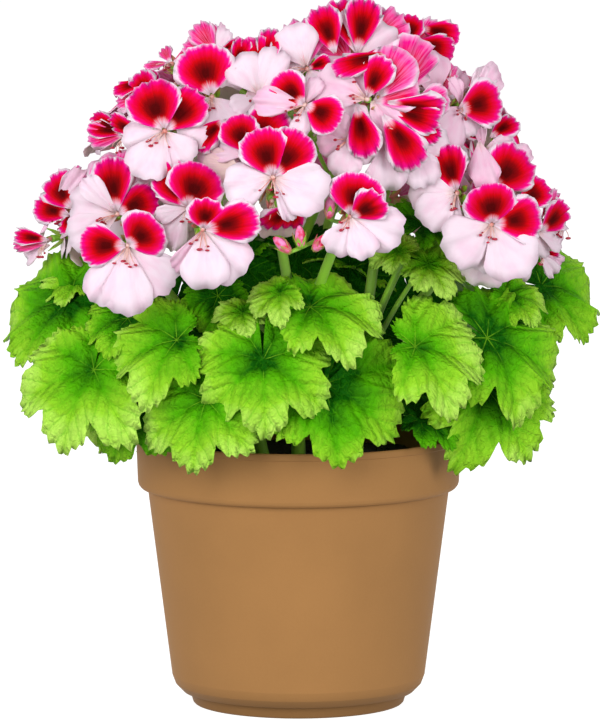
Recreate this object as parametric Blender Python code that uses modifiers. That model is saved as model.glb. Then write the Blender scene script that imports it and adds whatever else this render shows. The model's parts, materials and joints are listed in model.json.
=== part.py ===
"""A regal pelargonium in full bloom, in a plain 15 cm plastic pot.

The pot's foot stands on Z = 0 with the pot's axis on Z, and the plant's best side faces -Y.
Leaves and blooms of that side are placed by where they show in a level picture of the plant,
and by how far they stand in front of the pot's axis. The far side is laid out in rings.
"""

import random
from math import atan2, cos, pi, radians, sin, sqrt

import bmesh
import bpy
from mathutils import Matrix, Vector
from mathutils.bvhtree import BVHTree

# Driving dimensions, in metres
MM = 0.001
RIM_RADIUS = 75 * MM
POT_HEIGHT = 125 * MM
COLLAR_HEIGHT = 23 * MM
BODY_TOP_RADIUS = 69.2 * MM
BODY_BOTTOM_RADIUS = 58.2 * MM
FOOT_RADIUS = 48 * MM
FOOT_HEIGHT = 6 * MM
WALL = 1.9 * MM
FLOOR = 3 * MM
DRAIN_RADIUS = 4.5 * MM
DRAIN_RING = 31 * MM
DRAINS = 4
SOIL_TOP = 112 * MM
GAP = 0.3 * MM
MERGE = 0.03 * MM

STEM_RING = 24 * MM
STEM_RADIUS = 3.6 * MM
STEM_DEPTH = 26 * MM
LEAF_STALK_RADIUS = 1.25 * MM
FLOWER_STALK_RADIUS = 1.9 * MM
BLOOM_STALK_RADIUS = 0.95 * MM
BLADE = 0.75 * MM
PETAL_LENGTH = 23 * MM
PETAL_HALF_WIDTH = 11.4 * MM
LOWER_PETAL_HALF_WIDTH = 9.6 * MM
THROAT_RADIUS = 2.6 * MM
THROAT_DEPTH = 7 * MM
BUD_RADIUS = 2.6 * MM
BUD_LENGTH = 13 * MM

POT_STEPS = 32
SOIL_STEPS = 20

# The picture: 600 x 726 pixels, the rim 327 pixels wide, seen from a little above
PIXEL = 2 * RIM_RADIUS / 327
PICTURE_CENTRE = (300, 363)
EYE_DISTANCE = 3.2
EYE_ELEVATION = radians(7.1)
AIM = Vector((0.7, 0, 157)) * MM

# The blooms cover a dome: its centre's height, and its radii across, front to back and up
DOME_CENTRE = 215 * MM
DOME_RADII = (112 * MM, 105 * MM, 105 * MM)

# Colours, linear
POT_BROWN = (0.42, 0.19, 0.07)
SOIL_BLACK = (0.012, 0.009, 0.007)
LEAF_GREEN = (0.13, 0.42, 0.03)
PETAL_PINK = (0.78, 0.16, 0.34)

# Each bloom: picture x and y of its throat, millimetres in front of the dome, the way it
# faces (yaw to the right and pitch up, in degrees), its clockwise roll, and its size
HEADS = {
    "flower_head_left": [
        (41, 237, 0, -62, -5, 0, 0.92),
        (58, 207, 4, -50, 12, -15, 0.92),
        (110, 217, 4, -20, 8, 38, 0.96),
        (128, 249, 18, -10, -4, -10, 1.04),
    ],
    "flower_head_upper_left": [
        (172, 64, -4, -45, 40, -10, 0.92),
        (108, 128, 2, -62, 0, 0, 0.92),
        (133, 97, 2, -42, 25, -20, 0.92),
        (165, 127, 12, -14, 10, 12, 1.0),
        (212, 97, 4, -6, 18, -15, 1.0),
        (255, 92, 0, -6, 28, 0, 0.95),
    ],
    "flower_head_centre_left": [
        (189, 208, 2, -10, 6, 4, 0.96),
        (203, 235, 14, 0, -8, 22, 1.0),
    ],
    "flower_head_centre": [
        (240, 148, 0, -16, 14, -12, 0.94),
        (273, 177, 14, 0, 2, 4, 1.02),
        (271, 212, 4, 8, -45, 0, 0.85),
    ],
    "flower_head_front": [
        (350, 216, 10, 5, -8, 26, 0.84),
    ],
    "flower_head_top": [
        (214, 44, -10, -25, 52, 0, 0.88),
        (307, 69, 2, -8, 24, 56, 0.96),
        (300, 110, 12, 0, 8, 45, 1.0),
    ],
    "flower_head_top_middle": [
        (357, 56, 4, 6, 30, -12, 1.0),
        (367, 99, 14, -12, 8, 100, 0.98),
        (350, 138, 2, -4, 0, 62, 0.95),
        (404, 74, 0, 55, 34, 0, 0.92),
    ],
    "flower_head_top_right": [
        (420, 38, 0, 32, 34, 10, 0.95),
        (440, 72, 4, 30, 26, 0, 0.92),
        (462, 106, 8, 38, 4, 36, 0.94),
        (400, 132, 8, 18, -2, 70, 0.95),
    ],
    "flower_head_right": [
        (498, 148, 0, 24, 40, 6, 0.92),
        (457, 193, 2, -8, 6, 4, 1.0),
        (496, 183, 6, 18, 12, 62, 0.96),
        (556, 222, 2, 52, 2, 6, 0.92),
        (541, 251, -10, 42, -12, 0, 0.76),
        (478, 252, -6, 0, -30, 0, 0.88),
        (494, 220, 16, 12, -2, 20, 1.08),
    ],
}

# Buds of the front head: picture x and y of the bud's foot, millimetres in front of the dome,
# and the way the bud points
FRONT_BUDS = [
    (298, 236, 4, -10, 62),
    (313, 240, 6, 25, 50),
    (331, 214, 0, 10, 70),
]

# Heads on the far side: the compass angle of each, from the front round to the right, and
# for each bloom the angle from there, the height of its throat and the upward tilt
FAR_HEADS = {
    "flower_head_far_right": (116, [(-12, 224, 4), (13, 228, 6), (-22, 264, 30), (6, 268, 30)]),
    "flower_head_far_back": (166, [(-12, 224, 6), (13, 229, 6), (-16, 266, 32), (12, 264, 30)]),
    "flower_head_far_middle": (204, [(0, 224, 4), (2, 266, 30)]),
    "flower_head_far_left": (242, [(-13, 228, 6), (12, 224, 4), (-8, 266, 30), (20, 264, 30)]),
    "flower_head_crown": (
        180,
        [(-66, 288, 52), (-22, 294, 58), (24, 292, 58), (72, 286, 52), (-50, 309, 78), (60, 302, 76)],
    ),
}

# Each leaf: picture x and y of its stalk's end, millimetres in front of the pot's axis, yaw,
# pitch, the clockwise angle of its middle lobe, and its reach in millimetres
LEAVES = {
    "leafy_shoot_left": [
        (80, 310, 16, -35, 48, -104, 38),
        (84, 350, 24, -38, 32, -142, 43),
        (114, 372, 58, -24, 30, -150, 42),
        (78, 290, 0, -30, 55, -80, 25),
    ],
    "leafy_shoot_front_left": [
        (182, 340, 76, -6, 36, -84, 40),
        (203, 402, 84, -12, 28, -174, 37),
        (148, 392, 56, -22, 20, -166, 34),
        (134, 318, 56, -22, 48, -110, 27),
        (226, 300, 60, -2, 30, 170, 24),
    ],
    "leafy_shoot_front": [
        (265, 362, 86, 0, 30, 178, 38),
        (317, 391, 78, 8, 30, 145, 43),
        (308, 309, 72, 5, 42, 115, 37),
        (252, 316, 70, -10, 58, -80, 21),
        (282, 300, 64, -8, 24, -30, 26),
    ],
    "leafy_shoot_front_right": [
        (403, 341, 74, 16, 32, 115, 43),
        (402, 262, 56, 10, 40, 50, 21),
        (428, 276, 58, 14, 40, 70, 22),
        (430, 404, 56, 20, 20, 176, 24),
    ],
    "leafy_shoot_right": [
        (491, 380, 40, 36, 20, 168, 43),
        (487, 345, 48, 30, 30, 125, 44),
        (534, 302, -18, 30, 42, 85, 36),
        (516, 300, 26, 24, 44, 100, 24),
    ],
}

# Shoots on the far side: compass angle, and for each leaf the angle from there, the height
# and distance of its stalk's end, the upward tilt and the reach
FAR_LEAVES = {
    "leafy_shoot_far_right": (
        126,
        [(-20, 136, 80, 26, 38), (14, 132, 82, 24, 38), (-4, 160, 92, 36, 38), (-14, 186, 84, 50, 32)],
    ),
    "leafy_shoot_far": (
        180,
        [(-18, 134, 80, 26, 38), (16, 138, 80, 24, 37), (-2, 164, 92, 36, 38), (4, 190, 82, 52, 30)],
    ),
    "leafy_shoot_far_left": (
        -126,
        [(-16, 132, 82, 24, 38), (18, 136, 80, 26, 38), (2, 162, 92, 38, 38), (12, 186, 84, 50, 32)],
    ),
    "leafy_shoot_middle": (
        180,
        [(-28, 204, 30, 66, 28), (28, 210, 30, 66, 28), (-90, 200, 26, 70, 27), (90, 206, 26, 70, 27)],
    ),
}

# Which shoot carries each head's flower stalk, and the compass angle of each shoot
SHOOT_ANGLES = {
    "leafy_shoot_left": -84,
    "leafy_shoot_front_left": -42,
    "leafy_shoot_front": 0,
    "leafy_shoot_front_right": 42,
    "leafy_shoot_right": 86,
    "leafy_shoot_far_right": 126,
    "leafy_shoot_far": 180,
    "leafy_shoot_far_left": -126,
    "leafy_shoot_middle": 0,
}
CARRIERS = {
    "flower_head_left": "leafy_shoot_left",
    "flower_head_upper_left": "leafy_shoot_front_left",
    "flower_head_centre_left": "leafy_shoot_front_left",
    "flower_head_centre": "leafy_shoot_front",
    "flower_head_front": "leafy_shoot_front",
    "flower_head_top": "leafy_shoot_middle",
    "flower_head_top_middle": "leafy_shoot_middle",
    "flower_head_top_right": "leafy_shoot_front_right",
    "flower_head_right": "leafy_shoot_right",
    "flower_head_far_right": "leafy_shoot_far_right",
    "flower_head_far_back": "leafy_shoot_far",
    "flower_head_far_middle": "leafy_shoot_far",
    "flower_head_far_left": "leafy_shoot_far_left",
    "flower_head_crown": "leafy_shoot_middle",
}

# A leaf's reach at its middle lobe and, step by step, round to the notch at its stalk
LOBE_STEPS = 8
LOBE_REACH = (1.0, 0.84, 0.98, 0.80, 0.92, 0.70, 0.64, 0.30)

# What a bloom or leaf may do to stand clear of its neighbours: slide along the way it faces
# and sway its stalk, in millimetres, and nod or turn its head, in degrees
SLIDES = (0, -2, 2, -4, 4, -6, 6, -8, 8, -11, 11, 14)
SWAYS = (0, -9, 9)
NODS = ((0, 0), (9, 0), (-9, 0), (0, 9), (0, -9), (14, 10), (14, -10), (-14, 10), (-14, -10))

collection = None
standing = []


def seen_at(x, y, forward):
    """The point that shows at this pixel of the picture, that far in front of the pot's axis."""
    ahead = Vector((0, cos(EYE_ELEVATION), -sin(EYE_ELEVATION)))
    upward = Vector((0, sin(EYE_ELEVATION), cos(EYE_ELEVATION)))
    eye = AIM - ahead * EYE_DISTANCE
    across = (x - PICTURE_CENTRE[0]) * PIXEL
    up = (PICTURE_CENTRE[1] - y) * PIXEL
    ray = ahead * EYE_DISTANCE + Vector((1, 0, 0)) * across + upward * up
    return eye + ray * ((-forward - eye.y) / ray.y)


def on_dome(x, y, forward):
    """The point at this pixel that lies that far in front of the dome of blooms."""
    flat = seen_at(x, y, 0)
    share = (flat.x / DOME_RADII[0]) ** 2 + ((flat.z - DOME_CENTRE) / DOME_RADII[2]) ** 2
    return seen_at(x, y, DOME_RADII[1] * sqrt(max(0, 1 - share)) + forward)


def towards(angle, distance, height):
    """The point at this compass angle from the front, distance from the axis and height."""
    return Vector((sin(radians(angle)) * distance, -cos(radians(angle)) * distance, height))


def facing(yaw, pitch, roll):
    """A turn whose Z looks that way, with Y up before it is rolled clockwise."""
    yaw, pitch, roll = radians(yaw), radians(pitch), radians(roll)
    look = Vector((sin(yaw) * cos(pitch), -cos(yaw) * cos(pitch), sin(pitch)))
    up = Vector((0, 0, 1))
    up = (up - look * up.dot(look)).normalized()
    right = up.cross(look)
    top = up * cos(roll) + right * sin(roll)
    return Matrix((top.cross(look), top, look)).transposed()


def material(name, colour, roughness):
    made = bpy.data.materials.new(name)
    made.use_nodes = True
    shader = made.node_tree.nodes["Principled BSDF"]
    shader.inputs["Base Color"].default_value = (*colour, 1)
    shader.inputs["Roughness"].default_value = roughness
    shader.inputs["Metallic"].default_value = 0
    made.diffuse_color = (*colour, 1)
    return made


def add(name, mesh, finish=None, into=None):
    """A named object of this mesh in the plant's collection, or in another."""
    made = bpy.data.objects.new(name, mesh)
    (into or collection).objects.link(made)
    if finish:
        mesh.materials.clear()
        mesh.materials.append(finish)
    return made


def mesh_of(shape, name):
    """Turns a bmesh with faces in any direction into a mesh whose faces point out."""
    bmesh.ops.recalc_face_normals(shape, faces=shape.faces[:])
    if shape.calc_volume(signed=True) < 0:
        bmesh.ops.reverse_faces(shape, faces=shape.faces[:])
    mesh = bpy.data.meshes.new(name)
    shape.to_mesh(mesh)
    shape.free()
    return mesh


def turned(name, profile, steps, finish):
    """A turned solid. Its profile runs down the outer side and back up inside."""
    mesh = bpy.data.meshes.new(name)
    shape = bmesh.new()
    points = [shape.verts.new((radius, 0, height)) for radius, height in profile]
    for first, second in zip(points, points[1:]):
        shape.edges.new((first, second))
    shape.to_mesh(mesh)
    shape.free()
    made = add(name, mesh, finish)
    screw = made.modifiers.new("turn", "SCREW")
    screw.steps = screw.render_steps = steps
    screw.use_merge_vertices = True
    screw.merge_threshold = 0.00005
    screw.use_smooth_shade = True
    return made


def settle(made):
    """Applies an object's modifiers and returns its mesh."""
    bpy.context.view_layer.update()
    graph = bpy.context.evaluated_depsgraph_get()
    mesh = bpy.data.meshes.new_from_object(made.evaluated_get(graph))
    made.modifiers.clear()
    made.data = mesh
    return mesh


def tube(name, points, radii, sides, into):
    """A tapering tube along these points, as a mesh with closed ends."""
    line = bpy.data.curves.new(name, "CURVE")
    line.dimensions = "3D"
    line.bevel_depth = 1
    line.bevel_resolution = sides // 2 - 2
    line.use_fill_caps = True
    spline = line.splines.new("POLY")
    spline.points.add(len(points) - 1)
    for k, point in enumerate(points):
        spline.points[k].co = (*point, 1)
        spline.points[k].radius = radii[0] + (radii[1] - radii[0]) * k / (len(points) - 1)
    guide = bpy.data.objects.new(name, line)
    into.objects.link(guide)
    bpy.context.view_layer.update()
    graph = bpy.context.evaluated_depsgraph_get()
    mesh = bpy.data.meshes.new_from_object(guide.evaluated_get(graph))
    bpy.data.objects.remove(guide)
    shape = bmesh.new()
    shape.from_mesh(mesh)
    bmesh.ops.remove_doubles(shape, verts=shape.verts[:], dist=0.00002)
    return add(name, mesh_of(shape, name), into=into)


def bent(start, middle, end, count):
    """Points on the smooth bend from start to end that leans towards middle."""
    shares = [k / (count - 1) for k in range(count)]
    return [start * (1 - t) ** 2 + middle * 2 * t * (1 - t) + end * t * t for t in shares]


def thickened(shape, thickness):
    """Gives an open blade its thickness, both faces split into triangles alike."""
    lifted = bmesh.ops.extrude_face_region(shape, geom=shape.faces[:])
    moved = [item for item in lifted["geom"] if isinstance(item, bmesh.types.BMVert)]
    bmesh.ops.translate(shape, verts=moved, vec=(0, 0, -thickness))


def grow_stalk(shape, face, route, radii, across):
    """Draws a face of a blade out into a stalk along a route, with one radius at each point."""
    middle = face.calc_center_median()
    turns = {}
    for k, (point, radius) in enumerate(zip(route, radii)):
        ahead = (point - middle).normalized()
        side = (across - ahead * across.dot(ahead)).normalized()
        other = ahead.cross(side)
        if k == 0:
            arms = [(corner, corner.co - middle) for corner in face.verts]
            found = sorted((atan2(arm.dot(other), arm.dot(side)), n) for n, (_, arm) in enumerate(arms))
            step = 2 * pi / len(found)
            first = sum(turn - step * n for n, (turn, _) in enumerate(found)) / len(found)
            turns = {arms[n][0]: first + step * place_on for place_on, (_, n) in enumerate(found)}
        face = bmesh.ops.extrude_discrete_faces(shape, faces=[face])["faces"][0]
        carried = {}
        for corner in face.verts:
            old = next(e.other_vert(corner) for e in corner.link_edges if e.other_vert(corner) in turns)
            carried[corner] = turns[old]
            corner.co = point + (side * cos(turns[old]) + other * sin(turns[old])) * radius
        turns = carried
        middle = point


def draw_petal(shape, edge, length, half_width, lift):
    """Draws a petal out of an edge of the throat: widening, then rounding in to its tip."""
    middle = (edge.verts[0].co + edge.verts[1].co) / 2
    out = middle.normalized()
    side = Vector((-out.y, out.x, 0))
    for share, width in ((0.72, 1), (0.96, 0.56)):
        grown = bmesh.ops.extrude_edge_only(shape, edges=[edge])
        edge = next(item for item in grown["geom"] if isinstance(item, bmesh.types.BMEdge))
        for corner in edge.verts:
            left = 1 if (corner.co - middle).dot(side) > 0 else -1
            corner.co = out * length * share + side * left * half_width * width
            corner.co.z = length * (0.42 * share - 0.26 * share**2) + lift * left * share
    split = bmesh.ops.subdivide_edges(shape, edges=[edge], cuts=1)
    tip = next(item for item in split["geom_split"] if isinstance(item, bmesh.types.BMVert))
    tip.co = out * length * 1.04
    tip.co.z = length * 0.12


def bloom(draw, size):
    """A bloom of five petals round a five-sided throat, its top on +Y. Returns its back too."""
    shape = bmesh.new()
    bmesh.ops.create_circle(shape, cap_ends=True, segments=5, radius=THROAT_RADIUS)
    throat = next(iter(shape.faces))
    for edge in shape.edges[:]:
        middle = (edge.verts[0].co + edge.verts[1].co) / 2
        upper = middle.y > 0.5 * THROAT_RADIUS
        width = PETAL_HALF_WIDTH if upper else LOWER_PETAL_HALF_WIDTH
        length = PETAL_LENGTH * size * draw.uniform(0.96, 1.04)
        draw_petal(shape, edge, length, width * size, draw.uniform(1.6, 2.6) * MM)
    bmesh.ops.triangulate(shape, faces=[face for face in shape.faces if face != throat])
    thickened(shape, BLADE)
    backs = [face for face in shape.faces if len(face.verts) == 5]
    return shape, min(backs, key=lambda face: face.calc_center_median().z)


def leaf(reach, droop, pleat):
    """A lobed, pleated leaf, its middle lobe on +Y. Returns the face its stalk grows from."""
    shape = bmesh.new()
    corners = 2 * LOBE_STEPS + 1
    bmesh.ops.create_circle(shape, cap_ends=True, cap_tris=True, segments=corners, radius=1)
    for k, point in enumerate(shape.verts):
        step = min(k - 1, corners + 1 - k)
        if k == 0:
            point.co.y = reach * 0.06
        elif step == LOBE_STEPS:
            point.co = (LEAF_STALK_RADIUS if point.co.x > 0 else -LEAF_STALK_RADIUS, 0, 0)
        else:
            share = LOBE_REACH[step]
            point.co *= reach * share
            fold = -pleat if step % 2 == 0 else pleat
            point.co.z = reach * (fold * share - droop * share**2)
    thickened(shape, BLADE)
    ends = [face for face in shape.faces if len(face.verts) == 4]
    return shape, min(ends, key=lambda face: face.calc_center_median().length)


def place(name, shape, turn, at, into):
    """Puts a bmesh in place and adds it to the pieces that are about to be fused."""
    shape.transform(Matrix.Translation(at) @ turn.to_4x4())
    return add(name, mesh_of(shape, name), into=into)


def drop_fins(shape):
    """Merges corners that all but meet, and drops faces that lie back to back."""
    bmesh.ops.remove_doubles(shape, verts=shape.verts[:], dist=MERGE)
    bmesh.ops.dissolve_degenerate(shape, edges=shape.edges[:], dist=MERGE)
    bmesh.ops.triangulate(shape, faces=shape.faces[:])
    twins = {}
    for face in shape.faces:
        twins.setdefault(frozenset(face.verts), []).append(face)
    fins = [face for group in twins.values() if len(group) > 1 for face in group]
    bmesh.ops.delete(shape, geom=fins, context="FACES")


def largest_body(mesh):
    """Keeps the outer skin of the largest body, dropping sealed hollows and loose scraps."""
    shape = bmesh.new()
    shape.from_mesh(mesh)
    drop_fins(shape)
    left = set(shape.faces)
    bodies = []
    while left:
        found = [left.pop()]
        for face in found:
            for edge in face.edges:
                for other in edge.link_faces if len(edge.link_faces) == 2 else ():
                    if other in left:
                        left.remove(other)
                        found.append(other)
        bodies.append(found)
    bodies.sort(key=len)
    for body in bodies[:-1]:
        bmesh.ops.delete(shape, geom=body, context="FACES")
    shape.to_mesh(mesh)
    shape.free()


def fuse(base, pieces, name, finish):
    """Joins the pieces to the base in one body, and removes them."""
    union = base.modifiers.new("grown together", "BOOLEAN")
    union.operation = "UNION"
    union.operand_type = "COLLECTION"
    union.collection = pieces
    union.solver = "MANIFOLD"
    mesh = settle(base)
    largest_body(mesh)
    for piece in list(pieces.objects):
        bpy.data.objects.remove(piece)
    bpy.data.collections.remove(pieces)
    base.name = name
    mesh.materials.clear()
    mesh.materials.append(finish)
    mesh.shade_flat()
    return base


def reach_of(shape):
    """The middle of a piece and how far it reaches from there."""
    middle = sum((point.co for point in shape.verts), Vector()) / len(shape.verts)
    return middle, max((point.co - middle).length for point in shape.verts)


def crossings(shape, node):
    """How often a piece crosses what stands already, in other nodes and in its own."""
    tree = BVHTree.FromBMesh(shape)
    middle, reach = reach_of(shape)
    hits = {True: 0, False: 0}
    for home, other, spot, size in standing:
        if (spot - middle).length < size + reach:
            hits[home == node] += len(tree.overlap(other))
    return hits[False], hits[True]


def stand(shape, node):
    """Notes that a piece of this node now stands here."""
    standing.append((node, BVHTree.FromBMesh(shape), *reach_of(shape)))


def cleared(node, build, turn, *settings):
    """Builds a piece where it crosses other nodes least, then its own, near its own place."""
    tries = [
        (abs(slide) + abs(sway) / 3 + (abs(nod) + abs(swing)) / 3, slide, sway, nod, swing)
        for slide in SLIDES
        for sway in SWAYS
        for nod, swing in NODS
    ]
    best = None
    for effort, slide, sway, nod, swing in sorted(tries):
        if best and best[0] <= (0, effort):
            break
        leant = Matrix.Rotation(radians(nod), 3, "X") @ Matrix.Rotation(radians(swing), 3, "Y")
        shape = build(slide * MM, sway * MM, turn @ leant, *settings)
        others, own = crossings(shape, node)
        score = (others, own * 0.4 + effort)
        if best is None or score < best[0]:
            if best:
                best[1].free()
            best = (score, shape)
        else:
            shape.free()
    stand(best[1], node)
    return best[1]


def workshop(name):
    """A hidden collection for pieces that are about to be fused."""
    made = bpy.data.collections.new(name)
    bpy.context.scene.collection.children.link(made)
    made.hide_render = True
    return made


def make_pot(finish):
    collar_foot = POT_HEIGHT - COLLAR_HEIGHT
    outside = [
        (RIM_RADIUS - 0.5 * MM, POT_HEIGHT),
        (RIM_RADIUS, POT_HEIGHT - 0.6 * MM),
        (RIM_RADIUS, POT_HEIGHT - 3.0 * MM),
        (RIM_RADIUS - 0.5 * MM, POT_HEIGHT - 3.5 * MM),
        (RIM_RADIUS - 1.5 * MM, collar_foot),
        (BODY_TOP_RADIUS, collar_foot - 3.2 * MM),
        (BODY_BOTTOM_RADIUS, 14.3 * MM),
        (BODY_BOTTOM_RADIUS - 1.5 * MM, 10 * MM),
        (BODY_BOTTOM_RADIUS - 4.8 * MM, FOOT_HEIGHT + 0.6 * MM),
        (FOOT_RADIUS + 2 * MM, FOOT_HEIGHT),
        (FOOT_RADIUS + 0.6 * MM, 0.6 * MM),
        (FOOT_RADIUS, 0),
        (0, 0),
    ]
    inside = [
        (0, FLOOR),
        (FOOT_RADIUS - WALL, FLOOR),
        (BODY_BOTTOM_RADIUS - 7 * MM, FOOT_HEIGHT + 2.6 * MM),
        (BODY_BOTTOM_RADIUS - WALL, 14.6 * MM),
        (BODY_TOP_RADIUS - WALL, collar_foot - 2.4 * MM),
        (RIM_RADIUS - 1.5 * MM - WALL, collar_foot + 0.8 * MM),
        (RIM_RADIUS - WALL, POT_HEIGHT - 0.6 * MM),
        (RIM_RADIUS - 0.5 * MM, POT_HEIGHT),
    ]
    pot = turned("pot", outside + inside, POT_STEPS, finish)
    for k in range(DRAINS):
        angle = 2 * pi * (k + 0.5) / DRAINS
        bpy.ops.mesh.primitive_cylinder_add(
            vertices=10,
            radius=DRAIN_RADIUS,
            depth=4 * FLOOR,
            location=(DRAIN_RING * cos(angle), DRAIN_RING * sin(angle), FLOOR / 2),
        )
        drain = bpy.context.object
        drain.name = "drain_cutter"
        cut_with(pot, drain)
    return pot


def cut_with(body, cutter):
    """Cuts a hidden helper out of a body."""
    for home in list(cutter.users_collection):
        home.objects.unlink(cutter)
    bpy.data.collections["cutters"].objects.link(cutter)
    cutter.hide_render = True
    cutter.display_type = "WIRE"
    cut = body.modifiers.new("cut", "BOOLEAN")
    cut.operation = "DIFFERENCE"
    cut.object = cutter


def make_soil(finish):
    collar_foot = POT_HEIGHT - COLLAR_HEIGHT
    slack = WALL + 0.8 * MM
    profile = [
        (0, SOIL_TOP),
        (14 * MM, SOIL_TOP + 0.6 * MM),
        (36 * MM, SOIL_TOP - 0.4 * MM),
        (54 * MM, SOIL_TOP + 0.4 * MM),
        (RIM_RADIUS - 1.1 * MM - slack, SOIL_TOP - 2.4 * MM),
        (RIM_RADIUS - 1.5 * MM - slack, collar_foot + 1.4 * MM),
        (BODY_TOP_RADIUS - slack, collar_foot - 2.8 * MM),
        (BODY_BOTTOM_RADIUS - slack, 15.2 * MM),
        (BODY_BOTTOM_RADIUS - 8.2 * MM, FOOT_HEIGHT + 3.6 * MM),
        (FOOT_RADIUS - slack, FLOOR + GAP),
        (0, FLOOR + GAP),
    ]
    soil = turned("soil", profile, SOIL_STEPS, finish)
    mesh = settle(soil)
    draw = random.Random(4)
    for point in mesh.vertices:
        if point.co.z > SOIL_TOP - 1.5 * MM:
            point.co.z += draw.uniform(-1.1, 1.1) * MM
    for name in SHOOT_ANGLES:
        foot = stem_foot(name)
        bpy.ops.mesh.primitive_cylinder_add(
            vertices=6,
            radius=(STEM_RADIUS + GAP) / cos(pi / 6) + 0.1 * MM,
            depth=STEM_DEPTH * 2,
            location=(foot.x, foot.y, SOIL_TOP),
        )
        hole = bpy.context.object
        hole.name = "stem_hole_cutter"
        cut_with(soil, hole)
    mesh = settle(soil)
    largest_body(mesh)
    mesh.shade_smooth()
    mesh.set_sharp_from_angle(angle=radians(35))
    return soil


def stem_foot(shoot):
    """The foot of a shoot's stem, at the bottom of its hole in the soil."""
    away = 0 if shoot == "leafy_shoot_middle" else STEM_RING
    return towards(SHOOT_ANGLES[shoot], away, SOIL_TOP - STEM_DEPTH + GAP)


def stem_line(shoot):
    """The points of a shoot's main stem, from its foot up to its top."""
    foot = stem_foot(shoot)
    angle = SHOOT_ANGLES[shoot]
    if shoot == "leafy_shoot_middle":
        heights = (SOIL_TOP + 4 * MM, 150 * MM, 190 * MM, 222 * MM)
        spread = (0, 1 * MM, -2 * MM, 0)
    else:
        heights = (SOIL_TOP + 4 * MM, 136 * MM, 156 * MM, 172 * MM)
        spread = (STEM_RING, STEM_RING + 6 * MM, STEM_RING + 15 * MM, STEM_RING + 22 * MM)
    return [foot] + [towards(angle, away, height) for away, height in zip(spread, heights)]


def along(points, share):
    """The point at this share of a line's points, from its first to its last."""
    place_on = share * (len(points) - 1)
    k = min(int(place_on), len(points) - 2)
    return points[k].lerp(points[k + 1], place_on - k)


def bloom_places(head):
    """Throat, turn and size of each bloom of a head."""
    if head in HEADS:
        for x, y, forward, yaw, pitch, roll, size in HEADS[head]:
            yield on_dome(x, y, forward * MM), facing(yaw, pitch, roll), size
        return
    middle, blooms = FAR_HEADS[head]
    draw = random.Random(len(head) + middle)
    for angle, height, pitch in blooms:
        rise = (height * MM - DOME_CENTRE) / DOME_RADII[2]
        away = DOME_RADII[1] * sqrt(max(0.05, 1 - rise**2))
        yaw = middle + angle
        spot = towards(yaw, away, height * MM)
        yield spot, facing(yaw, pitch, draw.uniform(-25, 25)), draw.uniform(0.94, 1.04)


def hub_of(head):
    """Where a head's bloom stalks meet, a little inside and below its blooms."""
    spots = [(throat, turn.col[2]) for throat, turn, size in bloom_places(head)]
    middle = sum((throat for throat, look in spots), Vector()) / len(spots)
    look = sum((look for throat, look in spots), Vector()).normalized()
    return middle - look * 30 * MM - Vector((0, 0, 12 * MM))


def stalk_line(head):
    """The flower stalk's points, from its shoot up to the foot of the head's hub."""
    shoot = CARRIERS[head]
    start = along(stem_line(shoot), 0.9)
    hub = hub_of(head)
    middle = start.lerp(hub, 0.45)
    middle.z += 0.12 * (hub - start).length
    return bent(start, middle, hub, 4)


def head_line(head):
    """The place and rise of a head's hub, at the end of its flower stalk."""
    line = stalk_line(head)
    return line[-1], (line[-1] - line[-2]).normalized()


def start_head(head):
    """The hub that a head's blooms grow from."""
    foot, rise = head_line(head)
    shape = bmesh.new()
    bmesh.ops.create_cone(
        shape, cap_ends=True, segments=6, radius1=2.2 * MM, radius2=3.4 * MM, depth=8 * MM
    )
    turn = rise.to_track_quat("Z", "Y").to_matrix()
    shape.transform(Matrix.Translation(foot + rise * 4 * MM) @ turn.to_4x4())
    stand(shape, head)
    return add(head, mesh_of(shape, head))


def stalked_bloom(slide, sway, turn, knot, throat, size, seed):
    """A bloom on its stalk, slid along the way it faces."""
    look = turn.col[2]
    throat = throat + look * slide
    back = throat - look * THROAT_DEPTH
    root = knot + (back - knot).normalized() * 1.4 * MM
    middle = knot.lerp(back, 0.55) - look * 4 * MM + turn.col[0] * sway
    shape, end = bloom(random.Random(seed), size)
    shape.transform(Matrix.Translation(throat) @ turn.to_4x4())
    route = [back, middle, root]
    radii = [1.2 * MM, BLOOM_STALK_RADIUS, BLOOM_STALK_RADIUS]
    grow_stalk(shape, end, route, radii, turn.col[0])
    return shape


def grow_blooms(pieces):
    """Every bloom, the foremost first, as a piece of its head."""
    rows = [(head, number) for head in CARRIERS for number in range(len(list(bloom_places(head))))]
    rows.sort(key=lambda row: -row_forward(*row))
    for head, number in rows:
        throat, turn, size = list(bloom_places(head))[number]
        foot, rise = head_line(head)
        knot = foot + rise * 5 * MM
        shape = cleared(head, stalked_bloom, turn, knot, throat, size, head + str(number))
        add("bloom", mesh_of(shape, "bloom"), into=pieces[head])


def row_forward(head, number):
    """How far forward of its neighbours a bloom stands."""
    return HEADS[head][number][2] if head in HEADS else 0


def grow_buds(head, pieces):
    """The closed buds of the front head, on their stalks."""
    foot, rise = head_line(head)
    for x, y, forward, yaw, pitch in FRONT_BUDS:
        make_bud(foot + rise * 5 * MM, on_dome(x, y, forward * MM), facing(yaw, pitch, 0), pieces)


def make_bud(knot, foot, turn, pieces):
    """A closed bud on its stalk."""
    look = turn.col[2]
    middle = knot.lerp(foot, 0.5) - look * 3 * MM
    tip = foot + look * 3 * MM
    tube("bud_stalk", [knot, middle, foot, tip], [BLOOM_STALK_RADIUS] * 2, 4, pieces)
    shape = bmesh.new()
    bmesh.ops.create_icosphere(shape, subdivisions=1, radius=1)
    bmesh.ops.scale(shape, verts=shape.verts[:], vec=(BUD_RADIUS, BUD_RADIUS, BUD_LENGTH / 2))
    place("bud", shape, turn, foot + look * (BUD_LENGTH / 2), pieces)


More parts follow.
